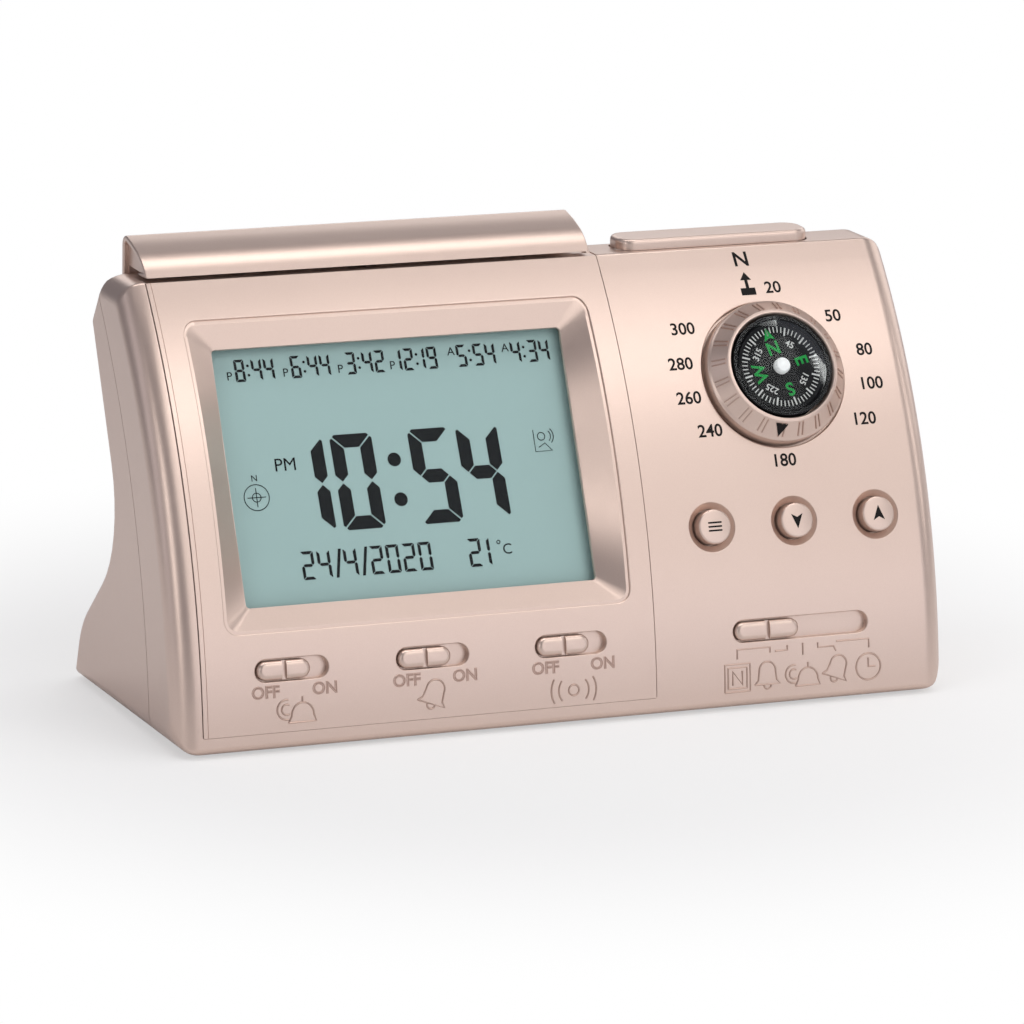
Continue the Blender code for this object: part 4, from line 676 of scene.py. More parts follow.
class Shape:
    """A mesh in the making, shaped by mesh operators."""

    def __init__(self) -> None:
        """Start with an empty mesh."""
        self.mesh = bmesh.new()
        self.rim: list[bmesh.types.BMVert] = []

    def start(self, points: Sequence[Vector]) -> "Shape":
        """Lay a closed rim of edges through points.

        Args:
            points: Places of the rim.

        Returns:
            The shape itself.
        """
        self.rim = [self.mesh.verts.new(point.to_3d()) for point in points]
        for index, vert in enumerate(self.rim):
            self.mesh.edges.new((self.rim[index - 1], vert))
        return self

    def rim_edges(self) -> list[bmesh.types.BMEdge]:
        """Edges of the rim in order."""
        return [self.mesh.edges.get((self.rim[index - 1], vert))
                for index, vert in enumerate(self.rim)]

    def grow(self, points: Sequence[Vector]) -> "Shape":
        """Extrude the rim and lay its new edge through as many points.

        Args:
            points: Places of the new rim.

        Returns:
            The shape itself.
        """
        grown = bmesh.ops.extrude_edge_only(self.mesh, edges=self.rim_edges())["geom"]
        fresh = {item for item in grown if isinstance(item, bmesh.types.BMVert)}
        rim = []
        for vert, point in zip(self.rim, points):
            ahead = next(edge.other_vert(vert) for edge in vert.link_edges
                         if edge.other_vert(vert) in fresh)
            ahead.co = point.to_3d()
            rim.append(ahead)
        self.rim = rim
        return self

    def cap(self) -> "Shape":
        """Close the rim with one face."""
        bmesh.ops.contextual_create(self.mesh, geom=self.rim_edges())
        return self

    def strip_cap(self) -> "Shape":
        """Close a rim that mirrors itself across its middle with a row of strips.

        Returns:
            The shape itself.
        """
        last = len(self.rim) - 1
        for index in range(len(self.rim) // 2 - 1):
            places = (index, index + 1, last - index - 1, last - index)
            bmesh.ops.contextual_create(self.mesh, geom=[self.rim[place] for place in places])
        return self

    def loft(self, loops: Sequence[Sequence[Vector]], strips: bool = False) -> "Shape":
        """Closed solid through loops of equally many points.

        Args:
            loops: The loops in order.
            strips: Whether both ends follow a curved surface and close in strips.

        Returns:
            The shape itself.
        """
        close = self.strip_cap if strips else self.cap
        self.start(loops[0])
        close()
        for loop in loops[1:]:
            self.grow(loop)
        return close()

    def plate(self, outline: Sequence[Vector], low: float, high: float) -> "Shape":
        """Flat outline from a low to a high level."""
        return self.loft([[Vector((point.x, point.y, level)) for point in outline]
                          for level in (low, high)])

    def pillow(self, outline: Outliner, low: float, high: float,
               edge: float) -> "Shape":
        """Solid on an outline with a rounded upper edge.

        Args:
            outline: Gives the outline drawn in by a distance.
            low: Lowest level.
            high: Highest level.
            edge: Radius of the upper edge.

        Returns:
            The shape itself.
        """
        loops = [[Vector((point.x, point.y, low)) for point in outline(0.0)]]
        for drawn, below in edge_round(edge):
            loops.append([Vector((point.x, point.y, high - below)) for point in outline(drawn)])
        return self.loft(loops)

    def turned(self, profile: Sequence[Spot], steps: int = 96,
               closed: bool = False) -> "Shape":
        """Profile of (radius, level) points spun round z.

        Args:
            profile: Points of the half section.
            steps: Spans of the full turn.
            closed: Whether the profile is a closed loop.

        Returns:
            The shape itself.
        """
        verts = [self.mesh.verts.new((radius, 0.0, level)) for radius, level in profile]
        pairs = list(zip(verts, verts[1:])) + ([(verts[-1], verts[0])] if closed else [])
        edges = [self.mesh.edges.new(pair) for pair in pairs]
        bmesh.ops.spin(self.mesh, geom=verts + edges, cent=(0, 0, 0), axis=(0, 0, 1),
                       angle=2 * math.pi, steps=steps, use_merge=True, use_duplicate=False)
        return self

    def mesh_of(self, other: bpy.types.Mesh, frame: Matrix = Matrix.Identity(4)) -> "Shape":
        """Add a finished mesh and drop it.

        Args:
            other: The mesh.
            frame: Frame that it is set in.

        Returns:
            The shape itself.
        """
        other.transform(frame)
        self.mesh.from_mesh(other)
        bpy.data.meshes.remove(other)
        return self

    def move(self, place: Place) -> "Shape":
        """Send every point through a mapping.

        Args:
            place: The mapping.

        Returns:
            The shape itself.
        """
        for vert in self.mesh.verts:
            vert.co = place(vert.co)
        return self

    def at(self, frame: Matrix) -> "Shape":
        """Set the shape in a frame."""
        return self.move(lambda point: frame @ point)

    def solid(self, name: str, weld: bool = True) -> Thing:
        """Finish as an object in the clock's frame.

        Args:
            name: Name of the object.
            weld: Whether doubles are merged and normals turned outwards.

        Returns:
            The new object.
        """
        if weld:
            bmesh.ops.remove_doubles(self.mesh, verts=self.mesh.verts, dist=MERGE)
            bmesh.ops.recalc_face_normals(self.mesh, faces=self.mesh.faces)
        data = bpy.data.meshes.new(name)
        self.mesh.to_mesh(data)
        self.mesh.free()
        obj = bpy.data.objects.new(name, data)
        bpy.context.scene.collection.objects.link(obj)
        return obj


def apply_modifiers(obj: Thing) -> None:
    """Turn an object's modifiers into its mesh.

    Args:
        obj: The object.
    """
    evaluated = obj.evaluated_get(bpy.context.evaluated_depsgraph_get())
    before = obj.data
    after = bpy.data.meshes.new_from_object(evaluated)
    obj.modifiers.clear()
    obj.data = after
    bpy.data.meshes.remove(before)


def carve(target: Thing, *tools: Thing, operation: str = "DIFFERENCE") -> None:
    """Combine a solid with tool solids, one after another, and drop the tools.

    Args:
        target: The solid that stays.
        tools: Solids to combine it with.
        operation: Kind of Boolean.
    """
    for tool in tools:
        modifier = target.modifiers.new(tool.name, "BOOLEAN")
        modifier.operation = operation
        modifier.object = tool
        modifier.solver = "EXACT"
    apply_modifiers(target)
    for tool in tools:
        bpy.data.objects.remove(tool, do_unlink=True)


def settle(obj: Thing, finish: Finish, body: Body,
           nodes: Sequence[str] = (), slot: Optional[Skin] = None, crease: float = 32.0,
           even: bool = True) -> None:
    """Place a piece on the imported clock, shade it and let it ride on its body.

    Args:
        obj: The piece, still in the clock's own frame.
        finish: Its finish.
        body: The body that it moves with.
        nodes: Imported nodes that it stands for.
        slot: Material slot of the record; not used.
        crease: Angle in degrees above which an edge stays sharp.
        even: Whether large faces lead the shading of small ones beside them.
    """
    obj.data.transform(CLOCK_FRAME)
    obj.data.materials.clear()
    obj.data.materials.append(made(finish))
    obj.data.shade_smooth()
    obj.data.set_sharp_from_angle(angle=math.radians(crease))
    if even:
        modifier = obj.modifiers.new("even", "WEIGHTED_NORMAL")
        modifier.keep_sharp = True
        modifier.weight = 50
        apply_modifiers(obj)
    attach(obj, body.value)
    if nodes:
        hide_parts(*nodes)
    LOG.info("%s: %d faces on %s", obj.name, len(obj.data.polygons), body.value)


def text_mesh(words: str, size: float, thickness: float, weight: float = 0.0,
              outline: float = 0.0) -> bpy.types.Mesh:
    """Words about the origin as a mesh.

    Args:
        words: The characters.
        size: Height of the type.
        thickness: Half of the relief.
        weight: How far the strokes are widened, as a share of the size.
        outline: Radius of a bead that follows the letters' outline instead of a filled face.

    Returns:
        The mesh.
    """
    curve = bpy.data.curves.new("words", "FONT")
    curve.body = words
    curve.size = size
    curve.align_x = "CENTER"
    curve.align_y = "CENTER"
    curve.extrude = thickness
    curve.offset = size * weight
    curve.resolution_u = 4
    if outline > 0.0:
        curve.fill_mode = "NONE"
        curve.bevel_depth = outline
        curve.bevel_resolution = 1
    return curve_mesh(curve)


def stroke_mesh(lines: Sequence[Stroke], width: float) -> bpy.types.Mesh:
    """Round-backed strokes along flat lines as a mesh.

    Args:
        lines: Points of each line.
        width: Width of the strokes.

    Returns:
        The mesh.
    """
    curve = bpy.data.curves.new("strokes", "CURVE")
    curve.dimensions = "3D"
    curve.bevel_depth = width / 2
    curve.bevel_resolution = 2
    curve.use_fill_caps = True
    for line in lines:
        spline = curve.splines.new("POLY")
        spline.points.add(len(line) - 1)
        for point, (across, up) in zip(spline.points, line):
            point.co = (across, up, 0.0, 1.0)
    return curve_mesh(curve)


def curve_mesh(curve: bpy.types.Curve) -> bpy.types.Mesh:
    """Turn a curve or text into a mesh and drop it.

    Args:
        curve: The curve or text.

    Returns:
        The mesh.
    """
    drawn = bpy.data.objects.new("drawn", curve)
    bpy.context.scene.collection.objects.link(drawn)
    evaluated = drawn.evaluated_get(bpy.context.evaluated_depsgraph_get())
    mesh = bpy.data.meshes.new_from_object(evaluated)
    bpy.data.objects.remove(drawn, do_unlink=True)
    bpy.data.curves.remove(curve)
    return mesh


def arc_line(middle: Spot, radius: float, first: float, last: float, steps: int = 14,
             stretch: float = 1.0) -> list[Spot]:
    """Arc drawn counter-clockwise.

    Args:
        middle: Its middle.
        radius: Its radius.
        first: Angle in degrees from x where it starts.
        last: Angle where it ends.
        steps: Number of spans.
        stretch: Its height for each unit of width.

    Returns:
        The arc's points.
    """
    turns = [math.radians(first + (last - first) * step / steps) for step in range(steps + 1)]
    return [(middle[0] + radius * math.cos(turn), middle[1] + radius * stretch * math.sin(turn))
            for turn in turns]


# The clock's surfaces


@dataclass(frozen=True)
class FrontCurve:
    """The arc that the front follows, leaning back from its foot."""

    radius: float = 0.145
    foot_lean: float = math.radians(4.4)

    def lean(self, height: float) -> float:
        """Angle that the front leans back at a height."""
        return math.asin(math.sin(self.foot_lean) + height / self.radius)

    def depth(self, height: float) -> float:
        """How far back the front lies at a height."""
        return self.radius * (math.cos(self.foot_lean) - math.cos(self.lean(height)))

    def middle(self) -> Vector:
        """Middle of the arc, as depth and height."""
        return Vector((math.cos(self.foot_lean), -math.sin(self.foot_lean))) * self.radius

    def spot(self, across: float, lean: float, out: float = 0.0) -> Vector:
        """Point at a lean of the arc, out from its surface."""
        way = Vector((-math.cos(lean), math.sin(lean))) * (self.radius + out) + self.middle()
        return Vector((across, way.x, way.y))

    def frame(self, across: float, height: float) -> Matrix:
        """Frame on the front, x across, y up the face and z out of it."""
        turn = Matrix.Rotation(math.pi / 2 - self.lean(height), 4, "X")
        return Matrix.Translation((across, self.depth(height), height)) @ turn

    def wrap(self, across: float, height: float) -> Place:
        """Mapping that lays a flat drawing on the front round a point.

        Args:
            across: Place of the drawing's origin.
            height: Height of the drawing's origin.

        Returns:
            The mapping from drawing to clock.
        """
        lean = self.lean(height)
        return lambda point: self.spot(across + point.x, lean + point.y / self.radius, point.z)

    def line(self, inset: float, low: float, high: float, steps: int) -> Loop:
        """Side view of the arc.

        Args:
            inset: How far it is moved in.
            low: Height where it starts.
            high: Height where it ends.
            steps: Number of spans.

        Returns:
            Points of depth and height.
        """
        middle, radius = self.middle(), self.radius - inset
        first = math.asin((low - middle.y) / radius)
        last = math.asin((high - middle.y) / radius)
        turns = [first + (last - first) * step / steps for step in range(steps + 1)]
        return [middle + Vector((-math.cos(turn), math.sin(turn))) * radius for turn in turns]


FRONT = FrontCurve()


def side_on(outline: Sequence[Vector], across: float) -> Loop:
    """Side outline of depth and height, set at a place across the clock."""
    return [Vector((across, point.x, point.y)) for point in outline]


def prism(name: str, outline: Sequence[Vector], left: float, right: float,
          edge: float = 0.0) -> Thing:
    """Side outline carried across the clock.

    Args:
        name: Name of the object.
        outline: Points of depth and height.
        left: Where it starts.
        right: Where it ends.
        edge: Radius of the round along both ends.

    Returns:
        The solid.
    """
    shape = Shape().loft([side_on(outline, left), side_on(outline, right)])
    if edge > 0.0:
        ends = [item for item in shape.mesh.edges
                if abs(item.verts[0].co.x - item.verts[1].co.x) < MERGE]
        bmesh.ops.bevel(shape.mesh, geom=ends, offset=edge, segments=3, profile=0.5, material=-1,
                        affect="EDGES")
    return shape.solid(name)


def box(name: str, low: Corner, high: Corner, frame: Matrix = Matrix.Identity(4)) -> Thing:
    """Square-edged cutter between two corners.

    Args:
        name: Name of the cutter.
        low: Its lowest corner in the frame.
        high: Its highest corner in the frame.
        frame: Frame that it stands in.

    Returns:
        The cutter.
    """
    shape = Shape()
    verts = bmesh.ops.create_cube(shape.mesh, size=1.0)["verts"]
    bmesh.ops.scale(shape.mesh, vec=Vector(high) - Vector(low), verts=verts)
    bmesh.ops.translate(shape.mesh, vec=(Vector(high) + Vector(low)) / 2, verts=verts)
    return shape.at(frame).solid(name)


def sunk_tool(name: str, outline: Outliner, depth: float, edge: float, place: Place) -> Thing:
    """Cutter for a recess whose rim is rounded.

    Args:
        name: Name of the cutter.
        outline: Gives the outline drawn in by a distance; a negative one widens it.
        depth: Depth of the recess.
        edge: Radius of the rounded rim.
        place: Mapping from the drawing to the clock.

    Returns:
        The cutter.
    """
    levels = [(edge, -OVER), (edge, -HAIR)]
    levels += [(edge - edge * math.sin(turn), edge * (1 - math.cos(turn)))
               for turn in (math.pi / 8 * step for step in range(1, 5))]
    levels.append((0.0, depth))
    loops = [[Vector((point.x, point.y, -down)) for point in outline(-wider)]
             for wider, down in levels]
    return Shape().loft(loops, strips=True).move(place).solid(name)


def rod(name: str, radius: float, low: float, high: float, frame: Matrix,
        steps: int = 40) -> Thing:
    """Round cutter along a frame's z.

    Args:
        name: Name of the cutter.
        radius: Its radius.
        low: Its lower end.
        high: Its upper end.
        frame: Frame that it stands in.
        steps: Spans of the full turn.

    Returns:
        The cutter.
    """
    profile = [(0.0, low), (radius, low), (radius, high), (0.0, high)]
    return Shape().turned(profile, steps).at(frame).solid(name)


@dataclass(frozen=True)
class Slot:
    """A round-ended slot in the face and the knob that slides in it."""

    body: Body
    across: float
    height: float
    length: float
    knob_length: float
    rise: float = 0.0044
    depth: float = 0.0016
    rim: float = 0.00025
    play: float = 0.0006

    def outline(self, inset: float) -> Loop:
        """Outline of the slot, drawn in by an inset."""
        return capsule(self.length - 2 * inset, self.rise - 2 * inset, 16)

    def tool(self) -> Thing:
        """Cutter of the slot."""
        return sunk_tool("slot_way", self.outline, self.depth, self.rim,
                         FRONT.wrap(self.across, self.height))

    def knob_frame(self) -> Matrix:
        """Frame of the knob at the left end of the slot."""
        travel = self.length - self.knob_length - self.play
        return FRONT.frame(self.across, self.height) @ Matrix.Translation((-travel / 2, 0.0, 0.0))


SHORT_SLOTS = tuple(Slot(body, across, 0.0156, 0.0152, 0.0111) for body, across in (
    (Body.AZAN_KNOB, -0.0584), (Body.ALARM_KNOB, -0.02905), (Body.SNOOZE_KNOB, 0.0003)))
MODE_SLOT = Slot(Body.MODE_KNOB, 0.0502, 0.0152, 0.0296, 0.014)


# The case's openings


@dataclass(frozen=True)
class PanelWay:
    """The opening of the front half that takes the display panel."""

    left: float = -0.07715
    right: float = 0.01846
    bottom: float = 0.00345
    over_top: float = 0.02
    corner: float = 0.0004
    depth: float = 0.0025
    rim: float = 0.0001

    def tool(self, top: float) -> Thing:
        """Cutter of the opening, which runs out over the top.

        Args:
            top: Height of the case's top.

        Returns:
            The cutter.
        """
        low, high = FRONT.lean(self.bottom), FRONT.lean(top) + self.over_top
        width, rise = self.right - self.left, (high - low) * FRONT.radius
        middle = (self.left + self.right) / 2

        def lay(point: Vector) -> Vector:
            """Lay the opening on the front."""
            return FRONT.spot(middle + point.x, (low + high) / 2 + point.y / FRONT.radius, point.z)

        return sunk_tool("panel_way", lambda inset: rounded_rect(
            width - 2 * inset, rise - 2 * inset, self.corner - inset, 3, 90),
            self.depth, self.rim, lay)


@dataclass(frozen=True)
class FootSeats:
    """Round seats in the underside for the four rubber feet."""

    across: float = 0.069
    front: float = 0.009
    rear: float = 0.0575
    radius: float = 0.0043
    sunk: float = 0.0006

    def cut(self, half: Thing, depth: float) -> None:
        """Cut the two seats that lie at one depth.

        Args:
            half: The case half.
            depth: How far back the seats lie.
        """
        for side in (-1, 1):
            place = Matrix.Translation((side * self.across, depth, 0.0))
            carve(half, rod("foot_way", self.radius, -0.002, self.sunk, place, 48))


@dataclass(frozen=True)
class Grille:
    """The slots in the rear wall in front of the speaker."""

    across: float = 0.05
    height: float = 0.0605
    count: int = 5
    pitch: float = 0.0036
    radius: float = 0.0105
    width: float = 0.0016
    depth: float = 0.0044
    rim: float = 0.0002

    def cut(self, rear: Thing, wall: Matrix) -> None:
        """Cut the slots, as long as the round grille is wide at each.

        Args:
            rear: The rear half.
            wall: Frame in the middle of the grille, z out of the wall.
        """
        for index in range(self.count):
            up = (index - self.count // 2) * self.pitch
            length = 2 * math.sqrt(self.radius ** 2 - up ** 2)
            place = wall @ Matrix.Translation((0.0, up, 0.0))
            carve(rear, sunk_tool("grille_slot", lambda inset: capsule(
                length - 2 * inset, self.width - 2 * inset, 10), self.depth, self.rim,
                lambda point: place @ point))


@dataclass(frozen=True)
class BatteryBay:
    """The room for the two cells and the way of its door."""

    left: float = -0.05925
    right: float = -0.00275
    wall: float = 0.0012
    floor: float = 0.0011
    section: Spots = (
        (0.0266, -0.0022), (0.0266, 0.0165), (0.0525, 0.0165), (0.0575, 0.0112), (0.0575, -0.0022))
    door_way: tuple[Corner, Corner] = ((-0.05865, 0.0252, -0.002), (-0.00335, 0.068, 0.0016))
    tongue_way: tuple[Corner, Corner] = ((-0.06005, 0.0252, 0.0005), (-0.00195, 0.068, 0.0016))
    mouth: tuple[Corner, Corner] = ((-0.05875, 0.0271, -0.002), (-0.00325, 0.057, 0.0042))

    def walls(self) -> Thing:
        """The bay with its walls, which the case's inside leaves standing."""
        return prism("bay_walls", inset_outline(self.section, -self.wall),
                     self.left - self.wall, self.right + self.wall)

    def cut(self, rear: Thing) -> None:
        """Cut the room, the door's way and the mouth between them.

        Args:
            rear: The rear half.
        """
        space = [Vector((back, max(up, self.floor))) for back, up in self.section]
        carve(rear, prism("bay_space", space, self.left, self.right))
        for low, high in (self.door_way, self.tongue_way, self.mouth):
            carve(rear, box("door_way", low, high))


@dataclass(frozen=True)
class ScrewWells:
    """The deep round wells of the four case screws."""

    across: float = 0.077
    heights: Spot = (0.0105, 0.062)
    reach: float = 0.0647
    wall_radius: float = 0.0038
    wall_front: float = -0.017
    radius: float = 0.0025
    hole_radius: float = 0.0016
    ledge: float = 0.0019

    def frames(self, parting: float) -> list[Matrix]:
        """Frames of the screws, z to the rear.

        Args:
            parting: How far behind the front the halves meet.

        Returns:
            One frame for each screw, on the parting line.
        """
        turn = Matrix.Rotation(-math.pi / 2, 4, "X")
        return [Matrix.Translation((side * self.across, FRONT.depth(height) + parting, height))
                @ turn for side in (-1, 1) for height in self.heights]

    def wall(self, frame: Matrix) -> Thing:
        """The wall round one well."""
        return rod("well_wall", self.wall_radius, self.wall_front, self.reach, frame)

    def bore(self, frame: Matrix) -> Thing:
        """One well and the screw hole at its foot.

        Args:
            frame: Frame of its screw.

        Returns:
            The cutter.
        """
        profile = [(0.0, -0.002), (self.hole_radius, -0.002), (self.hole_radius, self.ledge),
                   (self.radius, self.ledge), (self.radius, self.reach), (0.0, self.reach)]
        return Shape().turned(profile, 40).at(frame).solid("well_bore")


# The case


@dataclass(frozen=True)
class CaseShells:
    """The two halves of the case."""

    width: float = 0.165
    height: float = 0.0862
    end_round: float = 0.005
    rear_round: float = 0.002
    wall: float = 0.0022
    parting: float = 0.0165
    seam: float = 0.0002
    shoulder: Spot = (0.048, 0.086)
    crest: Spot = (0.055, 0.0755)
    waist: Spot = (0.0358, 0.0343)
    knee: Spot = (0.061, 0.0121)
    heel: float = 0.0647
    rounds: tuple[float, ...] = (0.003, 0.002, 0.021, 0.019, 0.0015)
    brow_round: float = 0.0012
    toe_round: float = 0.0015
    soft_round: float = 0.0022
    trimmed: int = 4
    rows: int = 88
    spans: int = 8
    end_spans: int = 10
    past: float = 0.004
    backing: Spots = ((0.0, 0.0456), (0.04, 0.0456), (0.05, 0.081), (0.0, 0.081))
    backing_sides: Spot = (0.0325, 0.069)
    bar_seat: tuple[Spot, Spot] = ((-0.0774, 0.0857), (0.0177, 0.095))
    bar_seat_rear: float = 0.09
    pad_play: float = 0.0003
    pad_well: Spot = (0.001, 0.00015)
    dial_well: Spot = (0.0015, 0.0003)
    post_hole: tuple[Corner, Corner] = ((-0.033, 0.0412, 0.08), (-0.027, 0.0472, 0.09))
    dial_radius: float = 0.0154
    button_way: Spots = (
        (0.0, 0.0012), (0.0052, 0.0012), (0.00515, 0.00001), (0.00502, -0.00004),
        (0.0049, -0.00014), (0.0038, -0.0011), (0.0038, -0.004), (0.0, -0.004))

    def outline(self, inset: float, front_end: float, rear_end: float) -> Loop:
        """Side outline moved inwards, further at the rounded ends.

        Args:
            inset: Distance from the outside.
            front_end: Extra inset of the front and top.
            rear_end: Extra inset of the rear and underside.

        Returns:
            The outline's points.
        """
        ahead, behind = inset + front_end, inset + rear_end
        front = FRONT.line(ahead, ahead, self.height - ahead, self.rows)
        rear = [Vector((FRONT.depth(self.height), self.height)), Vector(self.shoulder),
                Vector(self.crest), Vector(self.waist), Vector(self.knee),
                Vector((self.heel, 0.0)), Vector((0.0, 0.0))]
        signs = (-1, -1, 1, -1, -1)
        insets = (ahead, behind, behind, behind, behind, behind)
        soft = min(ahead, self.soft_round)
        corners = [(front[-1], max(self.brow_round - ahead, soft))]
        for index, (sign, radius) in enumerate(zip(signs, self.rounds), start=1):
            corner = inset_corner(rear[index - 1], rear[index], rear[index + 1],
                                  insets[index - 1], insets[index])
            drawn = max(radius - ahead, soft) if index == 1 else radius + sign * behind
            corners.append((corner, drawn))
        corners.append((front[0], max(self.toe_round - ahead, soft)))
        places = [front[-2]] + [corner for corner, _ in corners] + [front[1]]
        outline = front[self.trimmed:-self.trimmed]
        for index, (corner, radius) in enumerate(corners):
            outline += fillet_corner(places[index], corner, places[index + 2], radius, self.spans)
        return outline

    def body(self, name: str, inset: float) -> Thing:
        """Whole case as one solid with rounded ends, moved inwards.

        Args:
            name: Name of the object.
            inset: Distance from the outside.

        Returns:
            The solid.
        """
        round_front = self.end_round - inset
        round_rear = max(self.rear_round - inset, 0.0)
        half = self.width / 2 - inset

        def drawn(distance: float, radius: float) -> float:
            """How far an end's round draws the outline in."""
            left = max(radius - distance, 0.0)
            return radius - math.sqrt(radius ** 2 - left ** 2)

        sections = []
        for step in range(self.end_spans + 1):
            gone = round_front * (1 - math.cos(math.pi / 2 * step / self.end_spans))
            sections.append((half - gone, self.outline(inset, drawn(gone, round_front),
                                                       drawn(gone, round_rear))))
        loops = [side_on(points, -across) for across, points in sections]
        loops += [side_on(points, across) for across, points in reversed(sections)]
        return Shape().loft(loops).solid(name)

    def ahead_of_seam(self, shift: float) -> Thing:
        """Everything in front of the line where the halves meet.

        Args:
            shift: How far the line moves back.

        Returns:
            The solid.
        """
        low, high = -self.past, self.height + self.past
        curve = [point + Vector((self.parting + shift, 0.0))
                 for point in FRONT.line(0.0, low, high, 40)]
        outline = curve + [Vector((-self.parting, high)), Vector((-self.parting, low))]
        half = (self.width + self.past) / 2
        return prism("front_part", outline, -half, half)

    def build(self) -> None:
        """Build both halves and dress them."""
        front = self.body("front_shell", 0.0)
        rear = front.copy()
        rear.data = front.data.copy()
        rear.name = "rear_shell"
        bpy.context.scene.collection.objects.link(rear)
        cavity = self.body("front_space", self.wall)
        carve(cavity, prism("compass_backing", [Vector(spot) for spot in self.backing],
                            *self.backing_sides))
        carve(front, cavity)
        carve(front, self.ahead_of_seam(0.0), operation="INTERSECT")
        self.open_front(front)
        settle(front, PAINT, Body.CASE, ("front_case",), Skin.PAINT)
        self.open_rear(rear)
        settle(rear, PAINT, Body.CASE, ("rear_case",), Skin.PAINT)

    def open_front(self, front: Thing) -> None:
        """Cut the panel's opening, the top's seats, the button holes, the slot and the dial's seat.

        Args:
            front: The front half.
        """
        carve(front, PanelWay().tool(self.height))
        (left, low), (right, high) = self.bar_seat
        carve(front, box("bar_seat", (left, FRONT.depth(self.height), low),
                         (right, self.bar_seat_rear, high)),
              sunk_tool("pad_well", lambda inset: TopKeys().pad_outline(inset - self.pad_play),
                        *self.pad_well,
                        lambda point: point + Vector((0.0, 0.0, self.height))),
              box("bar_post_hole", *self.post_hole))
        buttons, dial = PushButtons(), Compass()
        for across in buttons.places:
            carve(front, Shape().turned(self.button_way, 72)
                  .move(FRONT.wrap(across, buttons.height)).solid("button_way"))
        carve(front, MODE_SLOT.tool())
        carve(front, sunk_tool("dial_way", lambda inset: circle(self.dial_radius - inset, 96),
                               *self.dial_well, FRONT.wrap(dial.across, dial.height)))
        feet = FootSeats()
        feet.cut(front, feet.front)

    def open_rear(self, rear: Thing) -> None:
        """Cut the inside, the battery bay, the screw wells, the grille and the feet's seats.

        Args:
            rear: The rear half.
        """
        bay, wells, grille, feet = BatteryBay(), ScrewWells(), Grille(), FootSeats()
        cavity = self.body("rear_space", self.wall)
        carve(cavity, bay.walls())
        for frame in wells.frames(self.parting):
            carve(cavity, wells.wall(frame))
        carve(rear, cavity)
        carve(rear, self.ahead_of_seam(self.seam))
        bay.cut(rear)
        for frame in wells.frames(self.parting):
            carve(rear, wells.bore(frame))
        grille.cut(rear, self.rear_wall(grille.across, grille.height))
        feet.cut(rear, feet.rear)

    def rear_wall(self, across: float, height: float) -> Matrix:
        """Frame on the sloping rear wall.

        Args:
            across: Place across the clock.
            height: Height of the frame.

        Returns:
            The frame, z out of the wall.
        """
        waist, crest = Vector(self.waist), Vector(self.crest)
        share = (height - waist.y) / (crest.y - waist.y)
        depth = waist.x + (crest.x - waist.x) * share
        lean = math.atan2(crest.x - waist.x, crest.y - waist.y)
        return Matrix.Translation((across, depth, height)) @ Matrix.Rotation(
            -math.pi / 2 - lean, 4, "X")


# The display


@dataclass(frozen=True)
class WindowPlane:
    """The tilted plane of the display window."""

    across: float = -0.0291
    height: float = 0.0502
    sunk: float = 0.0054
    tilt: float = math.radians(25.4)
    width: float = 0.0736
    rise: float = 0.0515

    def frame(self) -> Matrix:
        """Frame in the middle of the window, z out of the display."""
        place = (self.across, FRONT.depth(self.height) + self.sunk, self.height)
        return Matrix.Translation(place) @ Matrix.Rotation(math.pi / 2 - self.tilt, 4, "X")


WINDOW = WindowPlane()


